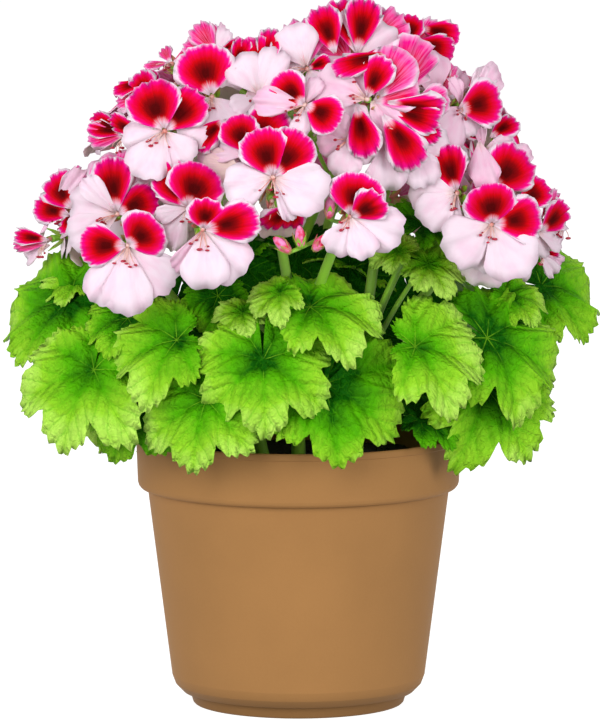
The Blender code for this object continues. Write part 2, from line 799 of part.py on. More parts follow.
def leaf_places(shoot):
    """Stalk's end, turn and reach of each leaf of a shoot."""
    for x, y, forward, yaw, pitch, roll, reach in LEAVES.get(shoot, []):
        yield seen_at(x, y, forward * MM), facing(yaw, pitch, roll), reach * MM
    if shoot in FAR_LEAVES:
        middle, leaves = FAR_LEAVES[shoot]
        for angle, height, away, pitch, reach in leaves:
            yaw = middle + angle
            spot = towards(yaw, away * MM, height * MM)
            yield spot, facing(yaw, pitch, 180 + angle), reach * MM


def start_shoot(shoot, pieces):
    """A shoot's stem and the flower stalks it carries."""
    base = tube(shoot, stem_line(shoot), [STEM_RADIUS, 2.6 * MM], 6, collection)
    note(base, shoot)
    for head, carrier in CARRIERS.items():
        if carrier != shoot:
            continue
        route = stalk_line(head)
        route[-1] -= (route[-1] - route[-2]).normalized() * GAP
        radii = [FLOWER_STALK_RADIUS * 1.2, FLOWER_STALK_RADIUS]
        stalk = tube("flower_stalk", route, radii, 6, pieces)
        note(stalk, shoot)
    return base


def note(made, node):
    """Notes that an object of this node now stands here, with its modifiers."""
    shape = bmesh.new()
    bpy.context.view_layer.update()
    shape.from_object(made, bpy.context.evaluated_depsgraph_get())
    stand(shape, node)
    shape.free()


def stalked_leaf(slide, sway, turn, line, number, end, reach, droop):
    """A leaf on its stalk, slid along the way it faces."""
    end = end + turn.col[2] * slide
    start = along(line, 0.45 + 0.11 * (number % 5))
    under = end - turn.col[2] * 4 * MM - turn.col[1] * 2 * MM
    middle = start.lerp(under, 0.6)
    middle.z += 0.1 * (under - start).length
    middle += turn.col[0] * sway
    shape, face = leaf(reach, droop, 0.07)
    shape.transform(Matrix.Translation(end) @ turn.to_4x4())
    route = bent(under, middle, start, 3)
    grow_stalk(shape, face, route, [LEAF_STALK_RADIUS] * 3, turn.col[0])
    return shape


def grow_leaves(pieces):
    """Every leaf as a piece of its shoot."""
    for shoot in SHOOT_ANGLES:
        draw = random.Random(shoot)
        for number, (end, turn, reach) in enumerate(leaf_places(shoot)):
            droop = 0.16 + draw.uniform(-0.05, 0.05)
            shape = cleared(shoot, stalked_leaf, turn, stem_line(shoot), number, end, reach, droop)
            add("leaf", mesh_of(shape, "leaf"), into=pieces[shoot])


def main():
    global collection
    for found in list(bpy.data.objects):
        bpy.data.objects.remove(found)
    for name in ("potted_geranium", "cutters"):
        made = bpy.data.collections.new(name)
        bpy.context.scene.collection.children.link(made)
    collection = bpy.data.collections["potted_geranium"]
    note(make_pot(material("pot_plastic", POT_BROWN, 0.55)), "pot")
    make_soil(material("potting_soil", SOIL_BLACK, 0.95))
    green = material("leaf_green", LEAF_GREEN, 0.55)
    pink = material("petal_pink", PETAL_PINK, 0.6)
    pieces = {node: workshop("pieces of " + node) for node in [*SHOOT_ANGLES, *CARRIERS]}
    bases = {shoot: start_shoot(shoot, pieces[shoot]) for shoot in SHOOT_ANGLES}
    bases.update({head: start_head(head) for head in CARRIERS})
    grow_buds("flower_head_front", pieces["flower_head_front"])
    grow_leaves(pieces)
    grow_blooms(pieces)
    for node, base in bases.items():
        fuse(base, pieces[node], node, green if node in SHOOT_ANGLES else pink)


main()
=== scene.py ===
"""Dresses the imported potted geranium: pot, soil, leafy shoots and flower heads, and the stage.

It is laid out as an add-on. Sizes are in metres and colours are linear. The plant's best side
faces -Y. Leaves and blooms of that side are placed by where they show in a picture of the
plant that is 600 by 726 pixels, and by how far they stand in front of the pot's axis.
"""

import json
import random
from math import cos, pi, radians, sin, sqrt

import bmesh
import bpy
from mathutils import Matrix, Vector, noise

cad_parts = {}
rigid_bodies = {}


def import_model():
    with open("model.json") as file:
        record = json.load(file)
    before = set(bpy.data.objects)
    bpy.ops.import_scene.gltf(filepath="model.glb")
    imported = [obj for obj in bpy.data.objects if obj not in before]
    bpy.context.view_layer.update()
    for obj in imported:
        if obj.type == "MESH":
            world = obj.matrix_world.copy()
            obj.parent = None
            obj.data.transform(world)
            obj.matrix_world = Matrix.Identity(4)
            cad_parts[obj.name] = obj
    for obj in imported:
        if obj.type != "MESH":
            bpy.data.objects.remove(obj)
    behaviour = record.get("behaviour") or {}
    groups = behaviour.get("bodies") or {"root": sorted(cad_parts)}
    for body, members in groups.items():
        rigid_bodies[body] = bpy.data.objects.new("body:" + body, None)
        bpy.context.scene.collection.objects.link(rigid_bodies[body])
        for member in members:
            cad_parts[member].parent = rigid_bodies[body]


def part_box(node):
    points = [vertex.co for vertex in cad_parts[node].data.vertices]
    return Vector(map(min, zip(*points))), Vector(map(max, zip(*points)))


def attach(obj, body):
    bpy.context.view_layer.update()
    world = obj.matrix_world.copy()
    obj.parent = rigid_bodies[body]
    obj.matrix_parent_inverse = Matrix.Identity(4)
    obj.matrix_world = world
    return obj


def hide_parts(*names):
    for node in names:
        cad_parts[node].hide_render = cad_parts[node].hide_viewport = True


for leftover in list(bpy.data.objects):
    bpy.data.objects.remove(leftover)
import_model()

bl_info = {
    "name": "Potted geranium",
    "version": (1, 0, 0),
    "blender": (4, 5, 0),
    "location": "3D View > Sidebar > Geranium",
    "description": "Dresses the pot, the soil, the leafy shoots and the flower heads of a geranium",
    "category": "Object",
}

# A millimetre in metres, and how near to each other points lie that are made one
MM = 0.001
WELD = 0.00001

# The pot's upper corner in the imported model, and its rim's width in the picture
POT_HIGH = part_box("pot")[1]
RIM_PIXELS = 327

# The picture: how wide a pixel is at the pot's axis, and the eye that looks at the aim
PIXEL = 2 * POT_HIGH.x / RIM_PIXELS
PICTURE_CENTRE = (300, 363)
PICTURE_HEIGHT = 726
EYE_DISTANCE = 3.2
EYE_ELEVATION = radians(7.1)
AIM = Vector((0.7, 0, 157)) * MM
EYE_AHEAD = Vector((0, cos(EYE_ELEVATION), -sin(EYE_ELEVATION)))
EYE_UP = Vector((0, sin(EYE_ELEVATION), cos(EYE_ELEVATION)))
EYE = AIM - EYE_AHEAD * EYE_DISTANCE

# The stage: the camera's sensor in millimetres, half the floor, and what the lamps point at
SENSOR = 36
FLOOR_HALF = 14
LAMP_AIM = Vector((0, 0, 0.17))

# The blooms cover a dome: its centre's height, and its radii across, front to back and up
DOME_CENTRE = 215 * MM
DOME_RADII = (112 * MM, 105 * MM, 105 * MM)

# The soil's height, and how far from the axis and how deep in it the shoots stand
SOIL_TOP = 112 * MM
STEM_RING = 24 * MM
STEM_DEPTH = 26 * MM

# How finely parts are made: the steps round the pot and the soil, how far apart the soil's
# rings are, the points along stems and stalks, and the sides round them
POT_STEPS = 160
SOIL_STEPS = 96
SOIL_RING = 2.6 * MM
STEM_POINTS = 25
STALK_POINTS = 12
BLOOM_STALK_POINTS = 9
STAMEN_POINTS = 7
STALK_SIDES = 10
BLOOM_STALK_SIDES = 8
STAMEN_SIDES = 6

# What the draw of the loose crumbs starts from
CRUMB_SEED = 7

# Each bloom: picture x and y of its throat, millimetres in front of the dome, the way it
# faces (yaw to the right and pitch up, in degrees), its clockwise roll, and its size
HEADS = {
    "flower_head_left": [
        (50, 239, 0, -62, -5, 0, 0.92), (58, 207, 4, -50, 12, -15, 0.92),
        (118, 214, 4, -20, 8, 38, 0.96), (128, 245, 18, -10, -4, -10, 1.04),
    ],
    "flower_head_upper_left": [
        (172, 64, -4, -45, 40, -10, 0.92), (128, 134, 2, -62, 0, 0, 0.92),
        (145, 98, 2, -42, 25, -20, 0.92), (165, 131, 12, -14, 10, 12, 1.0),
        (212, 97, 4, -6, 18, -15, 1.0), (259, 96, 0, -6, 28, 0, 0.95),
    ],
    "flower_head_centre_left": [(189, 208, 2, -10, 6, 4, 0.96), (203, 229, 14, 0, -8, 22, 1.0)],
    "flower_head_centre": [
        (249, 154, 0, -16, 14, -12, 0.94), (273, 177, 14, 0, 2, 4, 1.02),
        (272, 201, 4, 8, -45, 0, 0.85),
    ],
    "flower_head_front": [(350, 216, 10, 5, -8, 26, 0.84)],
    "flower_head_top": [
        (216, 54, -6, -25, 40, 0, 0.88), (307, 69, 2, -8, 24, 56, 0.96), (305, 105, 12, 0, 8, 45, 1.0),
    ],
    "flower_head_top_middle": [
        (357, 56, 4, 6, 30, -12, 1.0), (367, 99, 14, -12, 8, 100, 0.98),
        (350, 138, 2, -4, 0, 62, 0.95), (404, 74, 0, 55, 34, 0, 0.92),
    ],
    "flower_head_top_right": [
        (412, 45, 0, 28, 30, 10, 0.95), (440, 72, 4, 30, 26, 0, 0.92), (462, 106, 8, 38, 4, 36, 0.94),
        (400, 132, 8, 18, -2, 70, 0.95),
    ],
    "flower_head_right": [
        (498, 148, 0, 24, 40, 6, 0.92), (457, 193, 2, -8, 6, 4, 1.0), (496, 183, 6, 18, 12, 62, 0.96),
        (556, 222, 2, 52, 2, 6, 0.92), (541, 251, -10, 42, -12, 0, 0.76),
        (478, 252, -6, 0, -30, 0, 0.88), (491, 224, 16, 12, -2, 20, 1.08),
    ],
}

# Buds of the front head: picture x and y of the bud's foot, millimetres in front of the dome,
# and the way the bud points
FRONT_BUDS = [
    (301, 247, 6, -10, 66), (290, 252, 4, -60, 40), (314, 250, 5, 50, 44), (329, 218, 4, 14, 72),
]

# Heads on the far side: the compass angle of each, from the front round to the right, and
# for each bloom the angle from there, the height of its throat and the upward tilt
FAR_HEADS = {
    "flower_head_far_right": (116, [(-12, 224, 4), (13, 228, 6), (-20, 252, 16), (6, 264, 28)]),
    "flower_head_far_back": (166, [(-12, 224, 6), (13, 229, 6), (-16, 266, 32), (12, 264, 30)]),
    "flower_head_far_middle": (204, [(0, 224, 4), (2, 266, 30)]),
    "flower_head_far_left": (242, [(-16, 228, 6), (4, 220, 2), (-24, 249, 30), (20, 224, 8)]),
    "flower_head_crown": (180, [
        (-66, 278, 46), (-22, 292, 58), (24, 286, 56), (60, 264, 42), (-50, 302, 78), (44, 280, 66),
    ]),
}

# Blooms that fill each head behind its foremost ones: millimetres to the right, back and up,
# and the way each faces (compass angle from the front and upward tilt)
INNER_BLOOMS = {
    "flower_head_left": [(-102, 4, 222, -92, 0), (-86, -38, 230, -72, 6)],
    "flower_head_upper_left": [
        (-70, -46, 250, -70, 30), (-80, 2, 234, -90, 32), (-54, -4, 262, -85, 54),
        (-48, -38, 266, -50, 62),
    ],
    "flower_head_top": [(-30, 0, 292, -80, 74), (-10, -30, 294, -20, 78)],
    "flower_head_top_middle": [(6, 2, 302, 20, 86), (26, -30, 302, 30, 78)],
    "flower_head_top_right": [(38, 2, 296, 80, 76), (62, -2, 274, 85, 54), (54, -32, 286, 60, 66)],
    "flower_head_right": [
        (84, 4, 240, 88, 34), (102, 6, 212, 92, 0), (84, -44, 230, 70, 8), (68, -50, 254, 70, 30),
    ],
    "flower_head_crown": [(-42, 34, 280, 226, 64), (-4, 36, 294, 180, 78), (36, 36, 290, 137, 72)],
}

# Each leaf: picture x and y of its stalk's end, millimetres in front of the pot's axis, yaw,
# pitch, the clockwise angle of its middle lobe, its reach in millimetres, how bright it is, and
# how much shorter its back lobes are
# The brightness is partly a leaf's own tone and partly painted shade: low and negative values darken
# leaves that lie in shade.
LEAVES = {
    "leafy_shoot_left": [
        (71, 300, 16, -30, 44, -110, 40, 0.45, 0.7), (98, 342, 22, -38, 30, -142, 44, 0.5, 0.6),
        (94, 370, 60, -22, 32, -166, 39, 0.85, 0.7), (80, 281, 8, -30, 58, -78, 21, 0.9, 0.5),
    ],
    "leafy_shoot_front_left": [
        (177, 340, 76, -14, 42, -112, 34, 0.7, 1.2), (206, 399, 84, -10, 28, -172, 33, 0.7, 0.3),
        (142, 394, 56, -20, 22, -160, 32, 0.1, 0.5), (128, 318, 56, -20, 45, -115, 23, 0.35, 0.5),
        (218, 296, 58, -5, 30, -165, 19, 0.05, 0.5),
    ],
    "leafy_shoot_front": [
        (263, 360, 86, 0, 30, 178, 34.5, 0.6, 0.0), (325, 384, 78, 10, 30, 126, 40, 0.25, 0.3),
        (310, 307, 74, 8, 54, 104, 35, 0.7, 0.7), (243, 312, 72, -14, 56, -150, 15, 1.0, 0.5),
        (280, 292, 80, -24, 52, 212, 17, 1.0, 0.8),
    ],
    "leafy_shoot_front_right": [
        (415, 347, 76, 18, 38, 108, 36, 0.9, 1.2), (428, 264, 56, 14, 46, 110, 20, 1.2, 0.4),
        (398, 252, 60, -12, 48, -70, 14, 1.2, 0.4), (424, 224, 46, 10, 50, 40, 20, 0.15, 0.2),
        (420, 420, 52, 20, 58, 92, 22, -0.1, 0.6),
    ],
    "leafy_shoot_right": [
        (485, 387, 42, 28, 26, 156, 38, 0.5, 0.7), (487, 338, 48, 28, 34, 118, 41, 0.4, 0.6),
        (541, 286, -16, 28, 40, 97, 35, 0.5, 0.5), (508, 297, 28, 24, 50, 105, 20, 0.6, 0.6),
    ],
    # Leaves deep in the middle: their negative brightness paints them dark, as shaded foliage that
    # fills the gaps behind the outer leaves.
    "leafy_shoot_middle": [
        (232, 268, 12, -12, 24, 200, 26, -0.6, 0.2), (296, 262, 4, 0, 24, 180, 28, -0.6, 0.2),
        (350, 268, 2, 6, 22, 175, 27, -0.6, 0.2), (408, 288, 4, 14, 22, 160, 27, -0.6, 0.2),
        (176, 300, 8, -20, 24, 200, 26, -0.6, 0.2), (242, 330, 22, -8, 20, 190, 28, -0.8, 0.2),
        (356, 338, 22, 6, 20, 170, 28, -0.8, 0.2), (418, 366, 20, 14, 20, 160, 26, -0.8, 0.2),
        (164, 366, 22, -18, 20, 200, 26, -0.8, 0.2),
    ],
}

# Shoots on the far side: compass angle, and for each leaf the angle from there, the height
# and distance of its stalk's end, the upward tilt and the reach
FAR_LEAVES = {
    "leafy_shoot_far_right": (126, [
        (-10, 152, 66, 48, 31), (14, 132, 82, 24, 38), (-4, 160, 92, 36, 38), (-14, 186, 84, 50, 32),
    ]),
    "leafy_shoot_far": (180, [
        (-18, 134, 80, 26, 38), (16, 138, 80, 24, 37), (-2, 164, 92, 36, 38), (4, 190, 82, 52, 30),
    ]),
    "leafy_shoot_far_left": (-126, [
        (-16, 132, 82, 24, 38), (18, 146, 76, 36, 36), (2, 162, 92, 38, 38), (12, 186, 84, 50, 32),
    ]),
    "leafy_shoot_left": (-84, [(-8, 142, 72, 34, 34)]),
    "leafy_shoot_right": (86, [(10, 154, 60, 50, 29)]),
    "leafy_shoot_middle": (180, [
        (-28, 204, 30, 66, 28), (28, 210, 30, 66, 28), (-90, 200, 26, 70, 27), (90, 206, 26, 70, 27),
    ]),
}

# The compass angle of each shoot, in degrees from the front round to the right
SHOOT_ANGLES = {
    "leafy_shoot_left": -84,
    "leafy_shoot_front_left": -42,
    "leafy_shoot_front": 0,
    "leafy_shoot_front_right": 42,
    "leafy_shoot_right": 86,
    "leafy_shoot_far_right": 126,
    "leafy_shoot_far": 180,
    "leafy_shoot_far_left": -126,
    "leafy_shoot_middle": 0,
}

# Which shoot carries each head's flower stalk
CARRIERS = {
    "flower_head_left": "leafy_shoot_left",
    "flower_head_upper_left": "leafy_shoot_front_left",
    "flower_head_centre_left": "leafy_shoot_front_left",
    "flower_head_centre": "leafy_shoot_front",
    "flower_head_front": "leafy_shoot_front",
    "flower_head_top": "leafy_shoot_middle",
    "flower_head_top_middle": "leafy_shoot_middle",
    "flower_head_top_right": "leafy_shoot_front_right",
    "flower_head_right": "leafy_shoot_right",
    "flower_head_far_right": "leafy_shoot_far_right",
    "flower_head_far_back": "leafy_shoot_far",
    "flower_head_far_middle": "leafy_shoot_far",
    "flower_head_far_left": "leafy_shoot_far_left",
    "flower_head_crown": "leafy_shoot_middle",
}

# A leaf has seven lobes this many degrees apart, with four steps of its edge to a tooth, and
# lobes of these lengths from the middle one round
LOBE_ANGLE = 50
LOBE_STEPS = 28
TOOTH = (1.0, 0.2, -0.7, 0.2)
LEAF_STEPS = 7 * LOBE_STEPS
LOBE_LENGTHS = (1.0, 0.98, 0.93, 0.80, 0.66)
LEAF_RINGS = 6

# Each petal of a bloom: its kind, its clockwise angle, its length and half its spread, with
# the angles in degrees
PETALS = [
    ("upper", -30, 1.0, 54), ("upper", 32, 0.98, 54), ("lower", -107, 1.0, 42),
    ("lower", 107, 1.0, 42), ("lower", 180, 1.04, 40),
]
UPPER_KINDS = ("upper", "rosy")

# The steps across and along a petal that is placed by the picture, and those of any other
PETAL_STEPS = (20, 5)
FAR_PETAL_STEPS = (12, 4)

# The size of a bloom inside the dome
INNER_SIZE = 0.94

# How far in front of the throat the foremost petal starts, and how far behind it each next
# one does, in millimetres
FOREMOST = 1.2
LAYER = 0.5

# How far from its foot's depth a placed petal's tip may lie, and how short and how long the
# petal may be as a share of the usual length
TIP_DEPTH = 11 * MM
SHORTEST = 0.55
LONGEST = 1.45

# Where a head's hub starts behind and below the middle of its blooms, the heights and radii
# of its profile, and where the bloom stalks leave it, in millimetres
HUB_BEHIND = 30
HUB_BELOW = 12
HUB = [(0, 2.2), (3, 3.0), (7, 2.6), (8, 1.0)]
HUB_MIDDLE = 5

# A calyx: how far behind the throat it starts, and its tube's distances behind the throat
# with their radii, in millimetres
CALYX_START = 7
CALYX = [(2.5, 1.6), (0.8, 1.9)]
SEPALS = 5
SEPAL_THICKNESS = 0.25 * MM
STAMENS = 5

# The numbers of finishes in a piece's list; a petal's back comes right after its top
UPPER_TOP = 0
LOWER_TOP = 2
CALYX_FINISH = 1
BUD_FINISH = 2
ANTHER_FINISH = 1

# How deep the grain of every petal is
PETAL_GRAIN = 0.0006

# Petals that are placed one by one, the foremost first: the kind, picture x and y of the
# petal's tip, millimetres that the tip stands in front of the bloom's plane, half the spread
# and the twist in degrees, and picture x and y of the petal's foot if it isn't the throat
SEEN_PETALS = {
    "flower_head_left": {
        0: [
            ("upper", 24, 235, 2, 18, 20, 54, 240), ("rosy", 24, 244, 4, 14, 0, 52, 242),
            ("lower", 26, 260, 0, 18, 0, 52, 244),
        ],
        1: [
            ("upper", 61, 176, 3, 42, 10, 76, 210), ("upper", 46, 208, 5, 32, 10, 72, 216),
            ("pink", 92, 170, 5, 14, 30), ("pink", 54, 238, 6, 12, 40),
            ("upper", 66, 235, 1, 32, 0, 74, 208), ("rosy", 78, 172, -2, 34, 0, 72, 206),
        ],
        2: [
            ("upper", 116, 157, 0, 32, 0), ("upper", 157, 196, -1, 36, 0),
            ("lower", 88, 180, 6, 20, 20), ("lower", 71, 201, 1, 34, 0), ("lower", 72, 243, 2, 32, 0),
            ("rosy", 108, 151, -6, 44, 0),
        ],
        3: [
            ("upper", 162, 219, 2, 54, 0), ("upper", 82, 242, 3, 42, 0), ("lower", 131, 312, 6, 31, 0),
            ("lower", 99, 302, 3, 30, 0), ("lower", 174, 287, 2, 32, 0),
        ],
    },
    "flower_head_upper_left": {
        0: [("rosy", 164, 71, 2, 26, 0), ("rosy", 171, 62, 0, 24, 0), ("rosy", 180, 56, -2, 28, 0)],
        1: [
            ("upper", 100, 118, 2, 20, 20), ("upper", 102, 128, 5, 18, 20),
            ("rosy", 97, 134, 3, 26, 0), ("pink", 97, 144, 2, 16, 0),
            ("upper", 110, 119, 0, 22, 0, 142, 132),
        ],
        2: [
            ("upper", 122, 97, 3, 24, 20, 154, 84), ("upper", 138, 80, 2, 38, 0, 158, 102),
            ("upper", 156, 72, 1, 24, 30), ("rosy", 120, 103, 2, 26, 0), ("pink", 120, 111, 1, 24, 0),
        ],
        3: [
            ("upper", 150, 83, 3, 52, 0), ("upper", 202, 95, -1, 38, 0), ("lower", 143, 180, 4, 38, 0),
            ("lower", 187, 170, 2, 42, 0), ("lower", 124, 140, 0, 32, 0),
        ],
        4: [
            ("upper", 199, 48, 2, 52, 0), ("lower", 198, 150, 4, 38, 0), ("lower", 236, 138, 2, 42, 0),
            ("lower", 174, 126, -1, 32, 0),
        ],
        5: [
            ("lower", 238, 60, 4, 40, 0), ("lower", 280, 52, 2, 26, 0),
            ("upper", 245, 42, 2, 24, 0, 236, 76), ("upper", 272, 31, 1, 22, 0, 264, 78),
            ("upper", 255, 37, -3, 24, 0), ("lower", 232, 112, 2, 40, 0), ("rosy", 262, 40, -4, 30, 0),
            ("pink", 262, 122, -4, 42, 0, 250, 84),
        ],
    },
    "flower_head_centre_left": {
        0: [
            ("upper", 207, 164, 3, 60, 0), ("upper", 165, 165, -1, 40, 0),
            ("lower", 157, 217, 2, 22, 0), ("pink", 160, 190, -2, 22, 0),
            ("lower", 166, 248, 2, 28, 0),
        ],
        1: [
            ("upper", 259, 212, 5, 30, 0), ("upper", 208, 195, 3, 48, 0),
            ("lower", 207, 286, 5, 36, 0), ("lower", 241, 275, 3, 38, 0), ("pink", 178, 272, 1, 20, 0),
        ],
    },
    "flower_head_centre": {
        0: [
            ("upper", 238, 117, 2, 50, 0), ("upper", 280, 108, -2, 38, 0),
            ("lower_back", 204, 168, 3, 42, 0, 240, 166), ("pink", 214, 148, -1, 30, 0),
            ("upper", 197, 150, 1, 28, 10, 228, 118), ("pink", 210, 172, -3, 44, 0, 222, 130),
        ],
        1: [
            ("upper", 258, 128, 3, 41, 0), ("upper", 304, 132, 4, 39, 0),
            ("lower", 225, 190, 2, 38, 0), ("lower", 327, 196, 3, 43, 0),
            ("lower", 292, 220, 0, 14, 0),
        ],
        2: [
            ("upper", 263, 220, 3, 38, 0, 290, 200), ("upper", 288, 223, 1, 38, 0, 292, 198),
            ("lower_back", 270, 239, -1, 44, 0, 288, 208),
        ],
    },
    "flower_head_front": {
        0: [
            ("upper", 383, 191, 6, 40, 0), ("upper", 362, 170, 1, 58, 0),
            ("lower", 367, 255, 5, 32, 0), ("lower", 333, 253, 3, 36, 0),
            ("lower", 402, 234, 2, 38, 0),
        ],
    },
    "flower_head_top": {
        0: [
            ("rosy", 200, 32, 3, 34, 0), ("upper", 212, 29, 1, 20, 0), ("lower", 230, 34, 3, 34, 0),
            ("pink", 222, 27, 2, 20, 0), ("rosy", 187, 44, 0, 34, 0), ("upper", 233, 46, 2, 12, 30),
        ],
        1: [
            ("lower", 291, 30, 4, 42, 0), ("upper", 320, 10, 2, 30, 0, 336, 56),
            ("rosy", 303, 16, -4, 36, 0), ("upper", 330, 62, 3, 22, 20), ("lower", 322, 92, 0, 40, 0),
            ("lower", 272, 62, 0, 36, 0),
        ],
        2: [
            ("upper", 342, 124, 4, 44, 0), ("upper", 274, 78, 3, 44, 0), ("pink", 254, 101, 4, 24, 0),
            ("lower", 298, 138, 3, 24, 0), ("pink", 319, 78, 0, 26, 0),
        ],
    },
    "flower_head_top_middle": {
        0: [
            ("upper", 364, 4, 2, 27, 0), ("upper", 338, 1, 0, 30, 0), ("pink", 341, 16, 4, 12, 20),
            ("lower", 392, 32, 4, 42, 0), ("rosy", 402, 17, -2, 36, 0, 362, 48),
            ("rosy", 326, 32, -5, 42, 0, 350, 62), ("pink", 320, 80, 4, 30, 0),
            ("upper", 390, 56, 5, 20, 30),
        ],
        1: [
            ("upper", 371, 158, 5, 28, 0, 357, 104), ("upper", 389, 58, 5, 30, 0),
            ("pink", 317, 82, 3, 40, 0), ("upper", 336, 75, 5, 16, 20, 396, 52),
            ("rosy", 404, 50, 2, 40, 0, 378, 98), ("pink", 352, 72, 0, 34, 0),
            ("rosy", 414, 82, -5, 42, 0, 372, 102), ("pink", 398, 136, -5, 44, 0, 370, 98),
        ],
        2: [
            ("lower", 343, 176, 4, 38, 0), ("pink", 330, 116, 0, 42, 0),
            ("lower", 374, 158, -2, 44, 0), ("lower", 352, 104, -4, 44, 0),
            ("pink", 318, 146, 1, 42, 0),
        ],
        3: [
            ("rosy", 408, 45, 5, 40, 0, 388, 98), ("rosy", 384, 44, -2, 34, 0),
            ("rosy", 428, 62, -3, 36, 0),
        ],
    },
    "flower_head_top_right": {
        0: [
            ("upper", 410, 21, 3, 36, 0, 404, 46), ("rosy", 393, 13, -2, 42, 0, 398, 44),
            ("upper", 450, 55, 4, 26, 20, 408, 44), ("upper", 456, 41, 1, 30, 0, 418, 28),
            ("rosy", 440, 26, -2, 34, 0, 414, 44), ("pink", 426, 62, 0, 36, 0),
        ],
        1: [
            ("pink", 418, 54, 3, 38, 0, 432, 102), ("rosy", 444, 64, 2, 32, 0, 438, 98),
            ("pink", 460, 74, 2, 26, 0, 444, 98), ("lower", 436, 60, -2, 36, 0),
        ],
        2: [
            ("upper", 492, 97, 4, 48, 0, 455, 110), ("lower", 489, 72, 0, 26, 0),
            ("pink", 499, 68, -3, 22, 0), ("pink", 436, 142, 3, 42, 0), ("lower", 471, 136, 2, 30, 0),
            ("pink", 450, 78, 2, 22, 0),
        ],
        3: [
            ("upper", 413, 166, 5, 28, 0, 380, 112), ("upper", 441, 106, 4, 24, 20, 384, 101),
            ("upper", 436, 122, 3, 24, 0, 388, 108), ("upper", 438, 138, 1, 22, 0, 402, 118),
            ("rosy", 448, 96, 0, 34, 0, 410, 108), ("lower", 440, 164, -3, 44, 0, 416, 124),
            ("lower", 388, 192, 0, 36, 0, 384, 140), ("lower", 428, 186, 0, 34, 0, 410, 140),
        ],
    },
    "flower_head_right": {
        0: [
            ("upper", 514, 125, 1, 28, 0, 488, 140), ("upper", 459, 138, 0, 18, 20, 486, 142),
            ("pink", 476, 130, 1, 20, 0, 482, 152), ("pink", 511, 140, 2, 20, 0, 484, 150),
        ],
        1: [
            ("lower", 410, 190, 2, 38, 0), ("upper", 446, 145, 1, 36, 0),
            ("lower", 422, 223, 4, 38, 0), ("lower", 447, 234, 2, 28, 0),
        ],
        2: [
            ("pink", 479, 190, 7, 26, 0, 478, 140), ("upper", 521, 152, 2, 48, 0, 490, 190),
            ("upper", 547, 186, -3, 34, 0, 516, 206), ("pink", 530, 146, -4, 30, 0, 512, 170),
        ],
        3: [
            ("upper", 553, 202, 3, 40, 0, 537, 232), ("upper", 543, 188, 1, 16, 10, 539, 222),
            ("rosy", 554, 190, -1, 20, 10, 543, 224), ("lower", 558, 242, 2, 32, 0, 536, 232),
            ("lower", 550, 251, 0, 32, 0, 534, 234),
        ],
        4: [
            ("lower", 549, 272, 3, 20, 0, 535, 250), ("pink", 558, 259, 2, 13, 0, 536, 251),
            ("lower", 522, 281, 1, 26, 0, 530, 252), ("upper", 552, 252, 3, 10, 0, 535, 251),
        ],
        5: [
            ("lower", 484, 281, 2, 40, 0, 489, 244), ("lower", 464, 272, 0, 32, 0, 486, 246),
            ("lower", 506, 276, 0, 30, 0, 494, 246),
        ],
        6: [
            ("upper", 485, 182, 4, 62, 0), ("upper", 540, 214, 0, 40, 0),
            ("lower", 443, 252, 4, 44, 0), ("lower", 521, 274, 4, 40, 0),
            ("lower", 486, 272, -2, 34, 0),
        ],
    },
}


def seen_at(x, y, forward):
    """The point that shows at this pixel of the picture, that far in front of the pot's axis."""
    across = (x - PICTURE_CENTRE[0]) * PIXEL
    up = (PICTURE_CENTRE[1] - y) * PIXEL
    ray = EYE_AHEAD * EYE_DISTANCE + Vector((1, 0, 0)) * across + EYE_UP * up
    return EYE + ray * ((-forward - EYE.y) / ray.y)


def on_dome(x, y, forward):
    """The point at this pixel that lies that far in front of the dome of blooms."""
    flat = seen_at(x, y, 0)
    share = (flat.x / DOME_RADII[0]) ** 2 + ((flat.z - DOME_CENTRE) / DOME_RADII[2]) ** 2
    return seen_at(x, y, DOME_RADII[1] * sqrt(max(0, 1 - share)) + forward)


def towards(angle, distance, height):
    """The point at this compass angle from the front, distance from the axis and height."""
    return Vector((sin(radians(angle)) * distance, -cos(radians(angle)) * distance, height))


def facing(yaw, pitch, roll):
    """A turn whose Z looks that way, with Y up before it is rolled clockwise."""
    yaw, pitch, roll = radians(yaw), radians(pitch), radians(roll)
    look = Vector((sin(yaw) * cos(pitch), -cos(yaw) * cos(pitch), sin(pitch)))
    up = Vector((0, 0, 1))
    up = (up - look * up.dot(look)).normalized()
    right = up.cross(look)
    top = up * cos(roll) + right * sin(roll)
    return Matrix((top.cross(look), top, look)).transposed()


def bent(start, middle, end, count):
    """Points on the smooth bend from start to end that leans towards middle."""
    shares = [k / (count - 1) for k in range(count)]
    return [start * (1 - t) ** 2 + middle * 2 * t * (1 - t) + end * t * t for t in shares]


def along(points, share):
    """The point at this share of a line's points, from its first to its last."""
    place_on = share * (len(points) - 1)
    k = min(int(place_on), len(points) - 2)
    return points[k].lerp(points[k + 1], place_on - k)


def stem_line(shoot):
    """The points of a shoot's main stem, from its foot up to its top."""
    angle = SHOOT_ANGLES[shoot]
    if shoot == "leafy_shoot_middle":
        foot = towards(angle, 0, SOIL_TOP - STEM_DEPTH)
        heights = (SOIL_TOP + 4 * MM, 150 * MM, 190 * MM, 222 * MM)
        spread = (0, 1 * MM, -2 * MM, 0)
    else:
        foot = towards(angle, STEM_RING, SOIL_TOP - STEM_DEPTH)
        heights = (SOIL_TOP + 4 * MM, 136 * MM, 156 * MM, 172 * MM)
        spread = (STEM_RING, STEM_RING + 6 * MM, STEM_RING + 15 * MM, STEM_RING + 22 * MM)
    return [foot] + [towards(angle, away, height) for away, height in zip(spread, heights)]


def bloom_places(head):
    """Throat, turn and size of each bloom of a head, the outer ones first."""
    yield from outer_places(head)
    for right, back, up, yaw, pitch in INNER_BLOOMS.get(head, []):
        yield Vector((right, back, up)) * MM, facing(yaw, pitch, right % 31 - 15), INNER_SIZE


